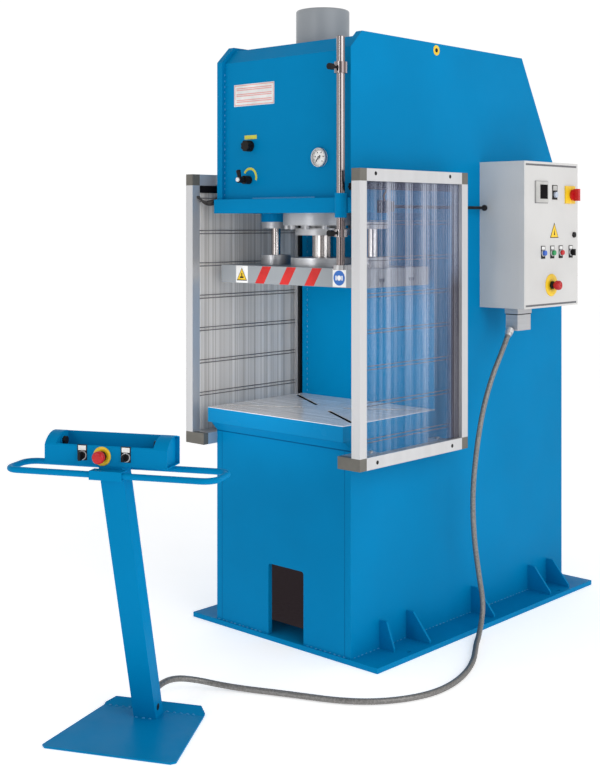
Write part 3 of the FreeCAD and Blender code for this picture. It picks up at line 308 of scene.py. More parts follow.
MATS = {
    "blue": painted("blue_enamel", BLUE, gloss=0.3, ior=1.12),
    "grey": painted("grey_enamel", (0.27, 0.29, 0.31), rough=(0.3, 0.42)),
    "cabinet": painted("cabinet_enamel", (0.605, 0.598, 0.588), rough=(0.42, 0.55), peel=700.0,
                       strength=0.3),
    "table": table_finish(),
    "ground": brushed("ground_steel", (0.42, 0.42, 0.43), (3, 240, 3), lines_by=0.05),
    "turned": brushed("turned_steel", (0.44, 0.445, 0.46), (4, 4, 420), rough=(0.3, 0.4),
                      metallic=0.5, lines_by=0.05),
    # two copies of one hard chrome: painted darker for the stop rod, and painted lighter for the ram
    # and guide rods, which stand in the head's shade
    "chrome": polished("hard_chrome_painted_dark", (0.46, 0.43, 0.43), (0.14, 0.11, 0.11)),
    "chrome_painted_light": polished("hard_chrome_painted_light", (0.80, 0.78, 0.77), (0.36, 0.33, 0.32)),
    "aluminium": brushed("drawn_aluminium", (0.60, 0.60, 0.61), (26, 26, 0.6),
                         rough=(0.28, 0.38), metallic=0.6, lines_by=0.03),
    # painted shade with a painted glow, for the lower box's inside
    "dark": painted_shade_glow("painted_shade_inside", (0.050, 0.038, 0.042)),
    # dark joints, and the painted shade lines along the bed ledge
    "joint": painted("joint_and_shade_enamel", (0.0, 0.09, 0.23), gloss=0.3, ior=1.12),
    "pink": moulded("faded_red_film", (0.74, 0.30, 0.29)),
    "corner": moulded("corner_plastic", (0.125, 0.118, 0.10)),
    "black": moulded("black_plastic", (0.009, 0.008, 0.009), gloss=0.16),
    "red": moulded("red_plastic", (0.50, 0.010, 0.014), rough=(0.2, 0.32), gloss=0.35),
    "yellow": moulded("yellow_plastic", (0.80, 0.52, 0.01)),
    "blue_button": moulded("blue_plastic", (0.03, 0.12, 0.55)),
    "green": moulded("green_plastic", (0.01, 0.28, 0.08)),
    "white": moulded("white_plastic", (0.78, 0.78, 0.77)),
    "red_film": moulded("red_film", (0.52, 0.022, 0.020), rough=(0.4, 0.5), gloss=0.2),
    "blue_film": moulded("blue_film", (0.01, 0.12, 0.45)),
    # lighter than the blue: painted highlights on the weld beads and the head seam
    "weld": painted("weld_enamel_painted_highlight", (0.018, 0.242, 0.51), rough=(0.25, 0.34), coat=0.1, gloss=0.35),
    # for wires and the door's dark gaps, and the painted shadow round the display
    "wire": brushed("dull_wire_and_painted_shadow", (0.13, 0.13, 0.14), (200, 200, 200), metallic=0.3),
    "cable": moulded("cable_sheath", (0.020, 0.018, 0.018)),
    "brown": moulded("brown_sheath", (0.17, 0.115, 0.085)),
    "screen": moulded("screen", (0.003, 0.002, 0.003), rough=(0.5, 0.6), gloss=0.05),
    "lime": moulded("lime_film", (0.62, 0.60, 0.05)),
    "bezel": moulded("grey_bezel", (0.47, 0.465, 0.45), gloss=0.3),
    "lens": moulded("frosted_lens", (0.50, 0.56, 0.68), rough=(0.12, 0.2)),
    "sheet": fluted_sheet(),
    "conduit": ribbed_conduit(),
}

NODE_MATS = {
    "grey": ("cylinder_barrel", "platen"),
    "table": ("table_plate",),
    "ground": ("stop_rod_lug",),
    "turned": ("connector_housing", "cylinder_flange", "rod_gland", "flange_bolts",
               "guide_bushes", "ram_flange", "guide_collars"),
    # the ram and guide rods take the chrome painted lighter, the stop rod the chrome painted darker
    "chrome_painted_light": ("ram", "guide_rods"),
    "chrome": ("stop_rod", "stop_collar_upper", "stop_collar_lower"),
    "aluminium": ("guard_profiles", "guard_brackets", "conduit_gland"),
    "corner": ("guard_corners",),
    "sheet": ("guard_sheets",),
    "cabinet": ("cabinet_box", "cabinet_door"),
    "black": ("clamp_knob_upper", "clamp_knob_lower", "hand_lever", "gauge_needle",
              "pressure_knob", "speed_lever", "door_selector", "door_lock", "console_selector",
              "console_key", "hand_button_left", "hand_button_right", "lever_bracket"),
    "red": ("main_switch_knob", "door_estop_button", "console_estop_button", "button_red"),
    "blue_button": ("button_blue",),
    "green": ("button_green",),
    "white": ("pressure_gauge",),
}


def soften(obj, width, angle):
    """A small bevel that catches the light, on edges that turn by more than the angle."""
    bevel = obj.modifiers.new("edge", "BEVEL")
    bevel.width = width
    bevel.segments = 2
    bevel.limit_method = "ANGLE"
    bevel.angle_limit = math.radians(angle)
    bevel.harden_normals = True


def dress_nodes():
    """A finish and soft edges on every carried-over node; nodes without a finish are blue."""
    finish = {node: key for key, nodes in NODE_MATS.items() for node in nodes}
    for node, obj in NODES.items():
        obj.data.materials.clear()
        obj.data.materials.append(MATS[finish.get(node, "blue")])
        large = max(obj.dimensions) > 0.3
        soften(obj, 0.002 if large else 0.0006, 50)


# ---- building blocks -----------------------------------------------------------------------
def piece(name, mesh, body, mat, bevel=0.0, smooth=True):
    """An object of the mesh with its finish and soft edges, riding on the body."""
    obj = bpy.data.objects.new(name, mesh)
    bpy.context.collection.objects.link(obj)
    mesh.materials.append(MATS[mat])
    if smooth:
        mesh.shade_smooth()
    if bevel:
        soften(obj, bevel, 40)
    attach(obj, body)
    return obj


def mesh_from(name, fill):
    """A mesh of what fill puts into a new bmesh."""
    bm = bmesh.new()
    fill(bm)
    mesh = bpy.data.meshes.new(name)
    bm.to_mesh(mesh)
    bm.free()
    return mesh


def circle(radius, sides):
    """Corners of a round outline about the origin."""
    turns = [2 * math.pi * k / sides for k in range(sides)]
    return [(radius * math.cos(t), radius * math.sin(t)) for t in turns]


def join_rings(bm, rings, closed=False):
    """Faces between neighbouring rings of vertices, and from the last to the first if closed."""
    sides = len(rings[0])
    for a, b in zip(rings, rings[1:] + (rings[:1] if closed else [])):
        for k in range(sides):
            j = (k + 1) % sides
            bm.faces.new((a[k], a[j], b[j], b[k]))


def add_turned(bm, profile, x, z, sides, place):
    """A closed profile of (radius, y) turned about the line through (x, z), then placed."""
    join_rings(bm, [[bm.verts.new(place @ Vector((x + dx, y, z + dz)))
                     for dx, dz in circle(radius, sides)] for radius, y in profile], closed=True)


def add_tube(bm, steps, radii, side, sides):
    """A tube with closed ends along close-set steps, with a radius at each."""
    rings = []
    for i, (at, radius) in enumerate(zip(steps, radii)):
        along = (steps[min(i + 1, len(steps) - 1)] - steps[max(i - 1, 0)]).normalized()
        side = (side - along * side.dot(along)).normalized()
        up = along.cross(side)
        rings.append([bm.verts.new(at + (side * a + up * b) * radius) for a, b in circle(1, sides)])
    join_rings(bm, rings)
    bm.faces.new(list(reversed(rings[0])))
    bm.faces.new(rings[-1])


def add_block(bm, low, high, turn=None):
    """A box from its lowest to its highest corner, then turned."""
    size = [b - a for a, b in zip(low, high)]
    mid = [(b + a) / 2 for a, b in zip(low, high)]
    place = Matrix.Translation(mid) @ Matrix.Diagonal((*size, 1))
    bmesh.ops.create_cube(bm, size=1, matrix=(turn or Matrix.Identity(4)) @ place)


def facing(along):
    """The turn that takes the Z axis to a direction."""
    return along.to_track_quat("Z", "Y").to_matrix().to_4x4()


def add_round(bm, radius, start, end, turn=None):
    """A round rod between two points, then turned."""
    start, end = Vector(start), Vector(end)
    along = end - start
    place = Matrix.Translation((start + end) / 2) @ facing(along)
    bmesh.ops.create_cone(bm, cap_ends=True, segments=40, radius1=radius, radius2=radius,
                          depth=along.length, matrix=(turn or Matrix.Identity(4)) @ place)


def add_plate(bm, outline, thickness, place):
    """A flat outline in (x, z) standing thickness towards -y, then placed."""
    front = [bm.verts.new(place @ Vector((x, -thickness, z))) for x, z in outline]
    back = [bm.verts.new(place @ Vector((x, 0, z))) for x, z in outline]
    bm.faces.new(front)
    bm.faces.new(list(reversed(back)))
    for i in range(len(outline)):
        j = (i + 1) % len(outline)
        bm.faces.new((front[i], back[i], back[j], front[j]))
    bmesh.ops.recalc_face_normals(bm, faces=bm.faces)


def blocks(name, boxes, body, mat, bevel=0.0006, turn=None):
    """One piece of boxes, each from its lowest to its highest corner, all turned alike."""
    def fill(bm):
        for low, high in boxes:
            add_block(bm, low, high, turn)
    return piece(name, mesh_from(name, fill), body, mat, bevel, smooth=False)


def rounds(name, rods, body, mat, bevel=0.0006, turn=None):
    """One piece of round rods (radius, start, end), all turned alike."""
    def fill(bm):
        for radius, start, end in rods:
            add_round(bm, radius, start, end, turn)
    return piece(name, mesh_from(name, fill), body, mat, bevel)


def plates(name, outlines, thickness, place, body, mat):
    """One piece of flat outlines that stand on a face."""
    def fill(bm):
        for outline in outlines:
            add_plate(bm, outline, thickness, place)
    return piece(name, mesh_from(name, fill), body, mat, 0.0002, smooth=False)


# ---- conduit -------------------------------------------------------------------------------
# the route's control points, from the cabinet's gland over the floor to the console's post
CONDUIT_D = 0.022
CONDUIT_ROUTE = (
    (0.499, 0.600, 1.185), (0.503, 0.549, 1.120), (0.499, 0.490, 1.035), (0.492, 0.431, 0.905),
    (0.487, 0.390, 0.740), (0.486, 0.362, 0.560), (0.490, 0.368, 0.380), (0.500, 0.390, 0.225),
    (0.512, 0.402, 0.120), (0.527, 0.368, 0.051), (0.555, 0.305, 0.011), (0.590, 0.240, 0.011),
    (0.640, 0.160, 0.011), (0.695, 0.068, 0.011), (0.744, -0.045, 0.011), (0.775, -0.165, 0.011),
    (0.778, -0.285, 0.011), (0.740, -0.400, 0.011), (0.670, -0.500, 0.011),
    (0.575, -0.570, 0.011), (0.460, -0.620, 0.011), (0.360, -0.664, 0.011),
    (0.275, -0.705, 0.011), (0.190, -0.753, 0.017), (0.125, -0.812, 0.036),
    (0.100, -0.890, 0.058), (0.116, -0.974, 0.066), (0.157, -1.041, 0.068))
RIB_PITCH = 0.0052
RIB_DEPTH = 0.0011
RIB_SIDES = 14


def route_points():
    """Points read from the route's own smooth spline."""
    curve = bpy.data.curves.new("conduit_route", "CURVE")
    curve.dimensions = "3D"
    spline = curve.splines.new("NURBS")
    spline.points.add(len(CONDUIT_ROUTE) - 1)
    for point, at in zip(spline.points, CONDUIT_ROUTE):
        point.co = (*at, 1)
    spline.order_u = 3
    spline.use_endpoint_u = True
    spline.resolution_u = 24
    obj = bpy.data.objects.new("conduit_route", curve)
    mesh = bpy.data.meshes.new_from_object(obj)
    points = [v.co.copy() for v in mesh.vertices]
    bpy.data.objects.remove(obj)
    bpy.data.curves.remove(curve)
    return points


def resampled(points, step):
    """Points a step apart along the line through the given ones."""
    out, left = [points[0]], step
    for a, b in zip(points, points[1:]):
        run = (b - a).length
        while run > left:
            a = a + (b - a) * (left / run)
            run = (b - a).length
            out.append(a.copy())
            left = step
        left -= run
    return out + [points[-1]]


def conduit():
    """The ribbed hose along its route: every other step is the root between two ribs."""
    path = route_points()
    steps = resampled(path, RIB_PITCH / 2)
    radii = [CONDUIT_D / 2 - RIB_DEPTH * (i % 2) for i in range(len(steps))]

    def fill(bm):
        add_tube(bm, steps, radii, Vector((1, 0, 0)), RIB_SIDES)
    obj = piece("conduit_hose", mesh_from("conduit_hose", fill), "press", "conduit")
    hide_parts("conduit")


# ---- welds ---------------------------------------------------------------------------------
WELD_PITCH = 0.0235
WELD_LONG, WELD_WIDE = 0.0060, 0.0034  # half a bead, along and across its seam


def weld_beads(bm, start, end):
    """A row of small separate beads along a seam, a little uneven in size and spacing."""
    start, end = Vector(start), Vector(end)
    along = (end - start).normalized()
    for i in range(int((end - start).length / WELD_PITCH)):
        at = start + along * (WELD_PITCH * (i + 0.5) + RNG.uniform(-0.002, 0.002))
        grow = RNG.uniform(0.85, 1.15)
        size = Matrix.Diagonal((WELD_WIDE * grow, WELD_WIDE * grow, WELD_LONG * grow, 1))
        bmesh.ops.create_icosphere(bm, subdivisions=2, radius=1,
                                   matrix=Matrix.Translation(at) @ facing(along) @ size)


def frame_welds():
    """Seams of the head cover, the throat plate and the base plate."""
    head, throat, foot = (1.76, 2.30), (0.905, 1.64), 0.020
    front, rear = -0.24, 1.25
    seams = []
    for x in (-SIDE_INNER, SIDE_INNER):
        seams.append([(x, COVER_Y, z) for z in head])
        seams.append([(x, THROAT_Y, z) for z in throat])
    seams.append([(x, FRAME_FRONT, foot) for x in (-0.36, -0.08)])
    seams.append([(x, FRAME_FRONT, foot) for x in (0.13, 0.36)])
    for x in (SIDE_X, -SIDE_X):
        seams.append([(x, front, foot), (x, rear, foot)])

    def fill(bm):
        for start, end in seams:
            weld_beads(bm, start, end)
    piece("frame_welds", mesh_from("frame_welds", fill), "press", "weld")


def frame_joints_and_shade_lines():
    """The front plate's flush joints with the side plates, and two painted shade lines along the bed
    ledge.
    """
    strips = [((x - 0.0008, FRAME_FRONT - 0.0003, 0.024), (x + 0.0008, FRAME_FRONT + 0.001, 0.800))
              for x in (-SIDE_INNER, SIDE_INNER)]
    low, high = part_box("bed_ledge")
    # painted shade: a thin line under the table's front and a thicker one at the ledge's foot
    for y, z, deep in ((low[1], high[2], 0.0035), (FRAME_FRONT, low[2] + 0.001, 0.0055)):
        strips.append(((low[0] + 0.001, y - 0.0004, z - deep), (high[0] - 0.001, y + 0.001, z)))
    blocks("frame_joints_and_shade_lines", strips, "press", "joint", 0)


def console_welds():
    """A short seam at the post's foot and a long one near the base's rear edge."""
    def fill(bm):
        foot = 0.0065
        for y, reach in ((0.139, 0.04), (0.211, 0.17)):
            weld_beads(bm, *(CONSOLE @ Vector((x, y, foot)) for x in (-reach, reach)))
    piece("console_welds", mesh_from("console_welds", fill), "press", "weld")


# ---- platen marks --------------------------------------------------------------------------
def slanted(x, z, width, height, lean):
    """A four-sided outline whose upper edge is shifted by lean."""
    return [(x, z), (x + width, z), (x + width + lean, z + height), (x + lean, z + height)]


def disc_outline(x, z, radius, count=40):
    """A round outline about a place."""
    return [(x + dx, z + dz) for dx, dz in circle(radius, count)]


def platen_marks():
    """White fields with two plain signs at the ends, and red stripes between them."""
    low, high = PLATEN_LOW[2] + 0.001, PLATEN_HIGH[2] - 0.001
    tall, mid = high - low, (low + high) / 2
    field_x, field_w, disc_x = (-0.298, 0.232), 0.068, 0.265
    face = Matrix.Translation((0, PLATEN_LOW[1], 0))
    ahead = Matrix.Translation((0, PLATEN_LOW[1] - 0.0004, 0))
    plates("platen_squares", [slanted(x, low, field_w, tall, 0) for x in field_x], 0.0004, face,
           "ram", "white")
    stripes = [slanted(x, low, 0.050, tall, 0.042) for x in (-0.188, -0.052, 0.084)]
    plates("platen_stripes", stripes, 0.0005, face, "ram", "red_film")
    sign = field_x[0] + field_w / 2
    for grow, raise_by, mat, slot in ((1.0, 0.0003, "black", "black_plastic"),
                                      (0.84, 0.0006, "yellow", "gauge_white")):
        foot = mid - 0.026 * grow - 0.002 * (1 - grow)
        triangle = [(sign - 0.030 * grow, foot), (sign + 0.030 * grow, foot),
                    (sign, mid + 0.027 * grow - 0.004 * (1 - grow))]
        plates("platen_triangle_" + mat, [triangle], raise_by, ahead, "ram", mat)
    shapes = [slanted(sign - 0.011, mid - 0.016, 0.022, 0.007, 0),
              slanted(sign - 0.002, mid - 0.009, 0.005, 0.014, 0)]
    plates("platen_triangle_shape", shapes, 0.0009, ahead, "ram", "black")
    plates("platen_disc", [disc_outline(disc_x, mid, 0.029)], 0.0004, ahead, "ram", "blue_film")
    shapes = [disc_outline(disc_x, mid, 0.010)]
    shapes += [slanted(disc_x + x, mid - 0.009, 0.006, 0.018, 0) for x in (-0.018, 0.012)]
    plates("platen_disc_shape", shapes, 0.0008, ahead, "ram", "white")


# ---- head front ----------------------------------------------------------------------------
def notice_plate():
    """A bare white plate with a thin red border and three pairs of red lines."""
    left, right, low, high = -0.276, -0.049, 2.131, 2.220
    thick, edge, side = 0.0012, 0.003, 0.014
    face = Matrix.Translation((0, COVER_Y, 0))
    plates("notice_plate", [slanted(left, low, right - left, high - low, 0)], thick, face,
           "press", "white")
    bars = [slanted(left + edge, z, right - left - 2 * edge, edge, 0)
            for z in (low + edge, high - 2 * edge)]
    bars += [slanted(x, low + edge, edge, high - low - 2 * edge, 0)
             for x in (left + edge, right - 2 * edge)]
    for pair in (0.016, 0.040, 0.064):
        bars += [slanted(left + side, low + pair + step, right - left - 2 * side, 0.0035, 0)
                 for step in (0, 0.007)]
    ahead = Matrix.Translation((0, COVER_Y - thick, 0))
    plates("notice_bars", bars, 0.0003, ahead, "press", "pink")


def control_marks():
    """Lime fields over the pressure knob and round the speed lever, and the lever's cap, white as a
    painted highlight.
    """
    face = Matrix.Translation((0, COVER_Y, 0))
    plates("pressure_label", [slanted(-0.216, 1.995, 0.069, 0.016, 0)], 0.0012, face, "press",
           "lime")
    arc, steps, mid_x, mid_z = [], 24, -0.185, 1.8405
    for radius, order in ((0.040, 1), (0.0305, -1)):
        turns = [math.radians(150 - 170 * k / steps) for k in range(steps + 1)][::order]
        arc += [(mid_x + radius * math.cos(t), mid_z + radius * math.sin(t)) for t in turns]
    plates("speed_arc", [arc], 0.0012, face, "press", "lime")
    x, z, front = -0.190, 1.830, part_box("speed_lever")[0][1]
    # white plastic: a painted highlight on the lever's chrome cap
    rounds("speed_cap_painted_highlight", [(0.0084, (x, front + 0.0055, z), (x, front - 0.0008, z))],
           "speed_lever", "white")


def lift_mark():
    """The yellow disc with a black centre high on the frame's right side."""
    y, z = 0.287, 2.357
    rounds("lift_mark", [(0.021, (SIDE_X, y, z), (SIDE_X + 0.0008, y, z))], "press", "yellow")
    rounds("lift_mark_centre", [(0.009, (SIDE_X, y, z), (SIDE_X + 0.0014, y, z))], "press",
           "black")


def head_seam():
    """The weld between the folded cover and the head base plate."""
    low, high = HEAD_BASE_TOP, HEAD_BASE_TOP + 0.006
    blocks("head_seam", [((-0.17, COVER_Y - 0.003, low), (0.17, COVER_Y + 0.002, high))], "press",
           "weld", 0.001)


def gauge_details():
    """A rim round the gauge's dial, and the dial's marks."""
    low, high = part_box("pressure_gauge")
    x, z = (low[0] + high[0]) / 2, (low[2] + high[2]) / 2
    dial = low[1] + 0.008

    def rim(bm):
        outer, inner = 0.0370, 0.0330
        profile = ((outer, low[1] + 0.010), (outer, low[1] + 0.001), (inner + 0.002, low[1] - 0.001),
                   (inner, low[1] + 0.001), (inner, low[1] + 0.006))
        add_turned(bm, profile, x, z, 64, Matrix.Identity(4))
        bmesh.ops.recalc_face_normals(bm, faces=bm.faces)
    piece("gauge_rim", mesh_from("gauge_rim", rim), "press", "turned")

    def ticks(bm):
        marks, sweep, reach = 50, 270, 0.031
        for i in range(marks + 1):
            turn = math.radians(225 - sweep * i / marks)
            long, wide = (0.006, 0.0006) if i % 5 == 0 else (0.003, 0.0003)
            place = Matrix.Translation((x, dial, z)) @ Matrix.Rotation(-turn, 4, "Y")
            add_block(bm, (reach - long, -0.0006, -wide), (reach, 0.0004, wide), place)
            if i % 10 == 0:
                add_block(bm, (0.0185, -0.0006, -0.0018), (0.0225, 0.0004, 0.0018), place)
    piece("gauge_ticks", mesh_from("gauge_ticks", ticks), "press", "black",
          smooth=False)


# ---- cabinet -------------------------------------------------------------------------------
DOOR_FACE = Matrix.Translation((DOOR_X, 0, 0)) @ Matrix.Rotation(math.radians(90), 4, "Z")
# places on the door's face, as y and z
DOOR_ROW = {"blue": 0.739, "green": 0.812, "red": 0.880, "selector": 0.962}
DOOR_ROW_Z = 1.529
DOOR_ESTOP = (0.805, 1.392)
DISPLAY = (0.725, 1.786)
LAMP = (0.832, 1.786)
# the main switch's plate, and the opening in it that the switch turns in
SWITCH_PLATE = ((0.914, 1.739), (0.992, 1.815))
SWITCH_OPENING = ((0.961, 1.770), (0.975, 1.784))
CONNECTOR_BASE_H = 0.024


def ring_piece(name, rings, turn, body, mat):
    """Round collars (x, z, outer, inner, height) standing on a face, with a hole through each."""
    def fill(bm):
        for x, z, outer, inner, height in rings:
            profile = ((outer, 0), (outer, -height * 0.7), (outer - height * 0.3, -height),
                       (inner, -height), (inner, 0))
            add_turned(bm, profile, x, z, 48, turn)
        bmesh.ops.recalc_face_normals(bm, faces=bm.faces)
    return piece(name, mesh_from(name, fill), body, mat)


def holed_label(name, x, z, half_w, low, high, turn, body):
    """A black label plate built as four bars around a square hole for a control."""
    thick, hole = 0.002, 0.0075
    bars = [((x - half_w, -thick, z + hole), (x + half_w, 0, z + high)),
            ((x - half_w, -thick, z - low), (x + half_w, 0, z - hole)),
            ((x - half_w, -thick, z - hole), (x - hole, 0, z + hole)),
            ((x + hole, -thick, z - hole), (x + half_w, 0, z + hole))]
    return blocks(name, bars, body, "black", 0.0003, turn)


def door_block(name, at, low, high, mat, bevel):
    """A block on the door's face; low and high are across, outwards and up from its place."""
    (y, z), (left, front, foot), (right, back, head) = at, low, high
    blocks(name, [((y + left, front, z + foot), (y + right, back, z + head))], "door", mat,
           bevel, DOOR_FACE)


def door_controls():
    """Label plates, collars and fields round the door's buttons and switches."""
    for key, y in DOOR_ROW.items():
        holed_label("label_" + key, y, DOOR_ROW_Z + 0.002, 0.0155, 0.026, 0.028, DOOR_FACE, "door")
        door_block("label_field_" + key, (y, DOOR_ROW_Z), (-0.0120, -0.0026, 0.0145),
                   (0.0120, -0.0019, 0.027), "white", 0.0002)
    collars = [(y, DOOR_ROW_Z, 0.0148, 0.0112, 0.006) for y in DOOR_ROW.values()]
    ring_piece("door_collars", collars, DOOR_FACE, "door", "turned")
    ring_piece("door_estop_disc", [(*DOOR_ESTOP, 0.0475, 0.0118, 0.003)], DOOR_FACE, "door",
               "yellow")
    ring_piece("door_estop_collar", [(*DOOR_ESTOP, 0.0165, 0.0118, 0.016)], DOOR_FACE, "door",
               "black")
    (left, foot), (right, head) = SWITCH_PLATE
    (hole_left, hole_foot), (hole_right, hole_head) = SWITCH_OPENING
    bars = ((left, foot, hole_left, head), (hole_right, foot, right, head),
            (hole_left, hole_head, hole_right, head), (hole_left, foot, hole_right, hole_foot))
    blocks("switch_plate", [((y0, -0.006, z0), (y1, 0, z1)) for y0, z0, y1, z1 in bars], "door",
           "yellow", 0.0003, DOOR_FACE)


def display_and_lamp():
    """The display's frame and screen, a painted shadow round the frame, and the lamp on its label
    plate.
    """
    door_block("display_bezel", DISPLAY, (-0.048, -0.007, -0.045), (0.048, 0, 0.045), "bezel",
               0.002)
    # painted shadow: a dark block just larger than the frame
    door_block("display_shadow", DISPLAY, (-0.0495, -0.002, -0.0475), (0.050, 0, 0.046), "wire",
               0.0004)
    door_block("display_screen", DISPLAY, (-0.018, -0.0078, -0.029), (0.040, -0.0065, 0.031),
               "screen", 0.0004)
    door_block("lamp_label", LAMP, (-0.020, -0.002, -0.031), (0.020, 0, 0.031), "black",
               0.0004)
    door_block("lamp_field", LAMP, (-0.015, -0.0026, 0.008), (0.015, -0.0015, 0.028), "bezel",
               0.0002)
    y, z = LAMP[0], LAMP[1] - 0.010
    rounds("lamp", [(0.0125, (y, -0.001, z), (y, -0.012, z))], "door", "lens", 0.002,
           DOOR_FACE)


def door_triangle():
    """A plain warning sign in three layers."""
    for name, outline, thickness, mat, slot in (
            ("door_triangle_edge", [(0.795, 1.592), (0.863, 1.592), (0.829, 1.657)], 0.0006,
             "black", "black_plastic"),
            ("door_triangle", [(0.800, 1.595), (0.858, 1.595), (0.829, 1.650)], 0.0010,
             "yellow", "gauge_white"),
            ("door_triangle_centre", [(0.825, 1.604), (0.834, 1.604), (0.829, 1.630)], 0.0014,
             "black", "black_plastic")):
        plates(name, [outline], thickness, DOOR_FACE, "door", mat)


def door_gaps():
    """Dark lines along the door's upper and lower edges."""
    low, high, edge = DOOR_LOW, DOOR_HIGH, 0.012
    gaps = [((low[1] + edge, -0.0006, z), (high[1] - edge, 0.0002, z + 0.008))
            for z in (low[2] + 0.008, high[2] - 0.018)]
    blocks("door_gaps", gaps, "door", "wire", 0.0002, DOOR_FACE)


def connector_gasket():
    """The dark line between the connector's base and its hood."""
    low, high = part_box("connector_housing")
    joint, inset = high[2] - CONNECTOR_BASE_H, 0.0025
    blocks("connector_gasket", [((low[0] + inset, low[1] + inset, joint - 0.0045),
                                 (high[0] - inset, high[1] - inset, joint - 0.0005))],
           "press", "black", 0.0004)


def door_seal():
    """Rubber up both sides of the box's opening, seen when the door stands open."""
    low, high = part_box("cabinet_box")
    lip, wide = 0.004, 0.004
    strips = [((high[0] - lip, y, low[2] + lip), (high[0] + 0.0001, y + wide, high[2] - lip))
              for y in (low[1] + lip, high[1] - lip - wide)]
    blocks("door_seal", strips, "press", "black", 0.0006)


# ---- small cables, the stop's switch and the painted shade inside --------------------------
CABLE_R = 0.0042


def bent_tube(bm, points, radius, sides=14, per=10):
    """A round cable through the points, smoothed in per steps between them."""
    points = [Vector(p) for p in points]
    ends = [points[0] * 2 - points[1]] + points + [points[-1] * 2 - points[-2]]
    steps = []
    for a, b, c, d in zip(ends, ends[1:], ends[2:], ends[3:]):
        for k in range(per):
            t = k / per
            steps.append(0.5 * (2 * b + (c - a) * t + (2 * a - 5 * b + 4 * c - d) * t * t
                                + (3 * b - a - 3 * c + d) * t ** 3))
    steps.append(points[-1])
    side = Vector((0, 0, 1)).cross(steps[1] - steps[0]).normalized()
    add_tube(bm, steps, [radius] * len(steps), side, sides)
    bmesh.ops.recalc_face_normals(bm, faces=bm.faces)


def guard_cables():
    """Two thin cables that sag from the left guard to the frame, through one connector."""
    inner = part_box("guard_sheets")[1][0] - 0.024

    def fill(bm):
        for drop, ahead in ((0.0, 0.0), (0.010, 0.008)):
            bent_tube(bm, [(-inner, -0.300 + ahead, 1.766), (-inner + 0.005, -0.297 + ahead, 1.758),
                           (-inner + 0.020, -0.283 + ahead, 1.746 - drop),
                           (-0.397, -0.262 + ahead, 1.741 - drop),
                           (-0.380, -0.246 + ahead, 1.752 - drop),
                           (-SIDE_X, -0.228 + ahead, 1.782)], CABLE_R)
        add_round(bm, 0.0095, (-0.408, -0.268, 1.737), (-0.380, -0.242, 1.747))
    piece("guard_cables", mesh_from("guard_cables", fill), "press", "cable")


def lever_cable():
    """The cable that leaves the frame's right side near the hand lever."""
    x = SIDE_X

    def fill(bm):
        bent_tube(bm, [(x, -0.130, 1.862), (x + 0.012, -0.115, 1.842), (x + 0.024, -0.094, 1.806),
                       (x + 0.025, -0.071, 1.781), (x + 0.025, -0.084, 1.760),
                       (x + 0.026, -0.080, 1.740)], CABLE_R)
    piece("lever_cable", mesh_from("lever_cable", fill), "press", "brown")


def stop_switch():
    """The small switch on the frame's right side."""
    x = SIDE_X
    blocks("stop_switch", [((x - 0.001, -0.262, 1.780), (x + 0.018, -0.236, 1.806)),
                           ((x + 0.003, -0.270, 1.787), (x + 0.012, -0.261, 1.796))],
           "press", "black", 0.0015)


def painted_shade_inside():
    """Near-black films in the lower box's unpainted inside: painted shade, seen through the front
    cut-out.
    """
    x, back, film = SIDE_INNER - 0.0012, THROAT_Y - 0.0012, 0.0008
    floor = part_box("base_plate")[1][2]
    foot = floor + 0.001
    walls = [((-x - film, -0.236, foot), (-x, back, 0.320)),
             ((x, -0.236, foot), (x + film, back, 0.320)),
             ((-x, back - film, foot), (x, back, 0.330)),
             ((-x, -0.110, floor + film), (x, back - 0.001, floor + 2 * film))]
    blocks("painted_shade_walls", walls, "press", "dark", 0)


# ---- guards --------------------------------------------------------------------------------
GUARD_LOW, GUARD_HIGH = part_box("guard_profiles")
SHEET_LOW, SHEET_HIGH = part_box("guard_sheets")
POST_INSIDE = (SHEET_LOW[1] + 0.016, SHEET_HIGH[1] - 0.016)  # where the sheet shows, along y
WIRE_X = GUARD_HIGH[0] - 0.0265
WIRE_PITCH = 0.135
WIRE_PAIR = 0.013
WIRE_R = 0.0017
LOWEST_WIRE = {-1: 0.155, 1: 0.060}  # above the sheet's lower edge, left and right


def guard_wires():
    """Pairs of thin wires across both sheets, from the post in front to the one behind."""
    wires = []
    for side, start in LOWEST_WIRE.items():
        z = SHEET_LOW[2] + start
        while z < SHEET_HIGH[2] - 0.05:
            for step in (0, WIRE_PAIR):
                front, rear = ((side * WIRE_X, y, z + step) for y in POST_INSIDE)
                wires.append((WIRE_R, front, rear))
            z += WIRE_PITCH
    rounds("guard_wires", wires, "press", "wire", 0)


def guard_plugs():
    """Black plugs in the rails' screw holes."""
    front, rear = POST_INSIDE
    rails = ((GUARD_LOW[2] + 0.022, (front + 0.058, rear - 0.062)),
             (GUARD_HIGH[2] - 0.0175, (front + 0.048, rear - 0.076)))
    plugs = []
    for side in (-1, 1):
        face = side * GUARD_HIGH[0]
        for z, places in rails:
            for y in places:
                plugs.append((0.0078, (face - side * 0.004, y, z), (face + side * 0.0002, y, z)))
    rounds("guard_plugs", plugs, "press", "black", 0.0005)


def guard_seals():
    """Black strips: one up the rear post, one under the top rail of each guard."""
    seals = []
    for side in (-1, 1):
        strips = ((GUARD_HIGH[0] - 0.041, 0.012, SHEET_HIGH[1] - 0.010, SHEET_HIGH[1] + 0.024,
                   GUARD_LOW[2] + 0.05, GUARD_HIGH[2] - 0.05),
                  (WIRE_X, 0.008, *POST_INSIDE, SHEET_HIGH[2] - 0.042, SHEET_HIGH[2] - 0.012))
        for x, wide, front, rear, low, high in strips:
            left, right = sorted((side * x, side * (x - wide)))
            seals.append(((left, front, low), (right, rear, high)))
    blocks("guard_seals", seals, "press", "black", 0.002)


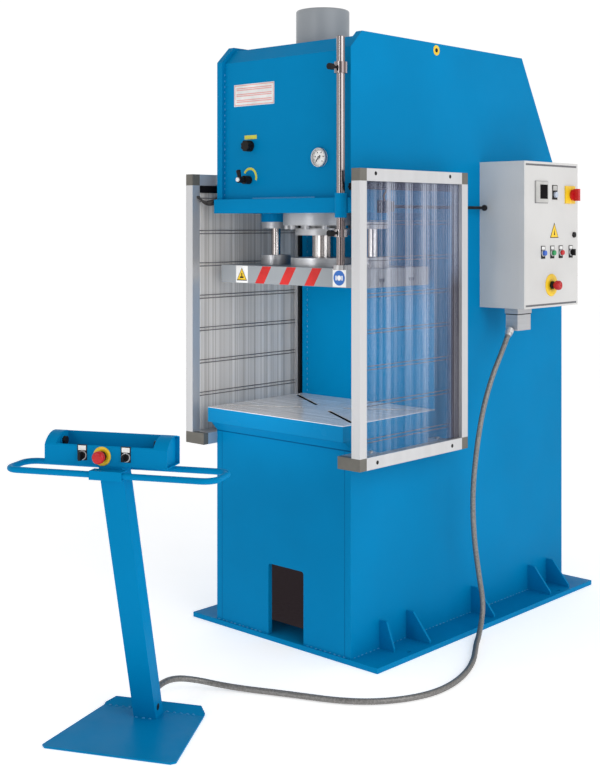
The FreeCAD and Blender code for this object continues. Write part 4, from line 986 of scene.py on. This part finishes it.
def bracket_screws():
    """Screw heads on the guards' upper and lower brackets."""
    low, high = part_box("guard_brackets")
    screws = []
    for x in (-0.396, 0.396):
        for z in (low[2] + 0.042, high[2] - 0.002):
            for y in (-0.170, 0.250):
                screws.append((0.0075, (x, y, z), (x, y, z + 0.007)))
    rounds("bracket_screws", screws, "press", "turned", 0.0008)


# ---- console -------------------------------------------------------------------------------
def console_details():
    """Label plates, collars and fields round the console's controls, and the post's plug."""
    face = CONSOLE @ Matrix.Translation((0, HOOD_FRONT, 0))
    for key in ("selector", "key"):
        x, z = CONSOLE_CTRL_X[key], HOOD_CTRL_Z
        holed_label("console_label_" + key, x, z + 0.004, 0.0165, 0.019, 0.030, face, "press")
        blocks("console_field_" + key,
               [((x - 0.0135, -0.0026, z + 0.016), (x + 0.0135, -0.0019, z + 0.031))], "press",
               "white", 0.0002, face)
    collars = [(CONSOLE_CTRL_X[k], HOOD_CTRL_Z, 0.0150, 0.0075, 0.0028) for k in ("selector", "key")]
    ring_piece("console_collars", collars, face, "press", "turned")
    estop = (CONSOLE_CTRL_X["estop"], HOOD_CTRL_Z)
    ring_piece("console_estop_disc", [(*estop, 0.0300, 0.0118, 0.003)], face, "press", "yellow")
    ring_piece("console_estop_collar", [(*estop, 0.0165, 0.0118, 0.012)], face, "press", "black")
    for name, wall, turn in (("right", 0.145, -90), ("left", -0.188, 90)):
        place = CONSOLE @ Matrix.Translation((wall, -0.080, 0.961))
        ring_piece("trough_collar_" + name, [(0, 0, 0.0170, 0.0138, 0.004)],
                   place @ Matrix.Rotation(math.radians(turn), 4, "Z"), "press", "blue")
    y, z = 0.158, 0.042
    rounds("post_plug", [(0.0112, (0.0385, y, z), (0.0406, y, z))], "press", "black",
           0.0005, CONSOLE)


# ---- floor, light and camera ---------------------------------------------------------------
# name, place, aim, size in metres, power in watts, spread in degrees
LIGHTS = (("key", (5.0, -1.2, 3.0), (0.0, 0.2, 1.2), 4.2, 108, 180),
          ("fill", (0.6, -9.5, 2.6), (0.0, 0.2, 1.2), 3.0, 90, 180),
          ("throat", (-0.10, -0.98, 1.15), (-0.10, 0.27, 1.17), 0.6, 1.0, 60))


def studio_world():
    """White all round, darker overhead and on the side that the polished rods mirror."""
    world = bpy.data.worlds.new("studio")
    world.use_nodes = True
    tree = world.node_tree
    back = tree.nodes["Background"]
    back.inputs["Strength"].default_value = 1.02
    coords = tree.nodes.new("ShaderNodeTexCoord")
    dot = tree.nodes.new("ShaderNodeVectorMath")
    dot.operation = "DOT_PRODUCT"
    turn = math.radians(CAMERA_TURN - 8)
    dot.inputs[1].default_value = (math.sin(turn), -math.cos(turn), 0)
    tree.links.new(coords.outputs["Generated"], dot.inputs[0])
    ramp = tree.nodes.new("ShaderNodeValToRGB")
    ramp.color_ramp.elements[0].position = 0.45
    ramp.color_ramp.elements[0].color = (1, 1, 1, 1)
    ramp.color_ramp.elements[1].position = 0.9
    ramp.color_ramp.elements[1].color = (0.32, 0.31, 0.31, 1)
    tree.links.new(dot.outputs["Value"], ramp.inputs["Fac"])
    split = tree.nodes.new("ShaderNodeSeparateXYZ")
    tree.links.new(coords.outputs["Generated"], split.inputs[0])
    above = tree.nodes.new("ShaderNodeMapRange")
    above.inputs["From Min"].default_value = 0.40
    above.inputs["From Max"].default_value = 0.85
    above.inputs["To Min"].default_value = 1.0
    above.inputs["To Max"].default_value = 0.45
    tree.links.new(split.outputs["Z"], above.inputs["Value"])
    dim = tree.nodes.new("ShaderNodeVectorMath")
    dim.operation = "SCALE"
    tree.links.new(ramp.outputs["Color"], dim.inputs[0])
    tree.links.new(above.outputs["Result"], dim.inputs["Scale"])
    tree.links.new(dim.outputs["Vector"], back.inputs["Color"])
    bpy.context.scene.world = world


def studio():
    """A pale floor, the world and the lights."""
    def fill(bm):
        bmesh.ops.create_grid(bm, x_segments=2, y_segments=2, size=30)
    mesh = mesh_from("floor", fill)
    floor = bpy.data.objects.new("floor", mesh)
    bpy.context.collection.objects.link(floor)
    floor.location.z = -0.0005
    pale = Shade("pale_floor", (0.93, 0.93, 0.93), roughness=0.9)
    pale.bsdf.inputs["Emission Color"].default_value = (1, 1, 1, 1)
    pale.bsdf.inputs["Emission Strength"].default_value = 0.42
    pale.vary_colour(pale.noise(3, 2), 0.01)
    mesh.materials.append(pale.mat)
    studio_world()
    for name, at, aim, size, power, spread in LIGHTS:
        light = bpy.data.lights.new(name, "AREA")
        light.size = size
        light.energy = power
        light.spread = math.radians(spread)
        obj = bpy.data.objects.new(name, light)
        obj.location = at
        along = Vector(aim) - Vector(at)
        obj.rotation_euler = along.to_track_quat("-Z", "Y").to_euler()
        obj.visible_camera = False
        bpy.context.collection.objects.link(obj)
    bpy.context.scene.view_settings.view_transform = "Standard"


def camera():
    """A level camera at the photograph's viewing angle."""
    data = bpy.data.cameras.new("camera")
    data.lens = LENS
    data.sensor_width = 36
    data.shift_x, data.shift_y = SHIFT
    data.clip_end = 100
    obj = bpy.data.objects.new("camera", data)
    obj.location = CAMERA_AT
    obj.rotation_euler = (math.radians(90), 0, math.radians(CAMERA_TURN))
    bpy.context.collection.objects.link(obj)
    bpy.context.scene.camera = obj


camera()
conduit()
dress_nodes()
frame_welds()
frame_joints_and_shade_lines()
console_welds()
platen_marks()
notice_plate()
control_marks()
lift_mark()
head_seam()
gauge_details()
door_controls()
display_and_lamp()
door_triangle()
door_gaps()
connector_gasket()
door_seal()
guard_cables()
lever_cable()
stop_switch()
painted_shade_inside()
guard_wires()
guard_plugs()
guard_seals()
bracket_screws()
console_details()
studio()
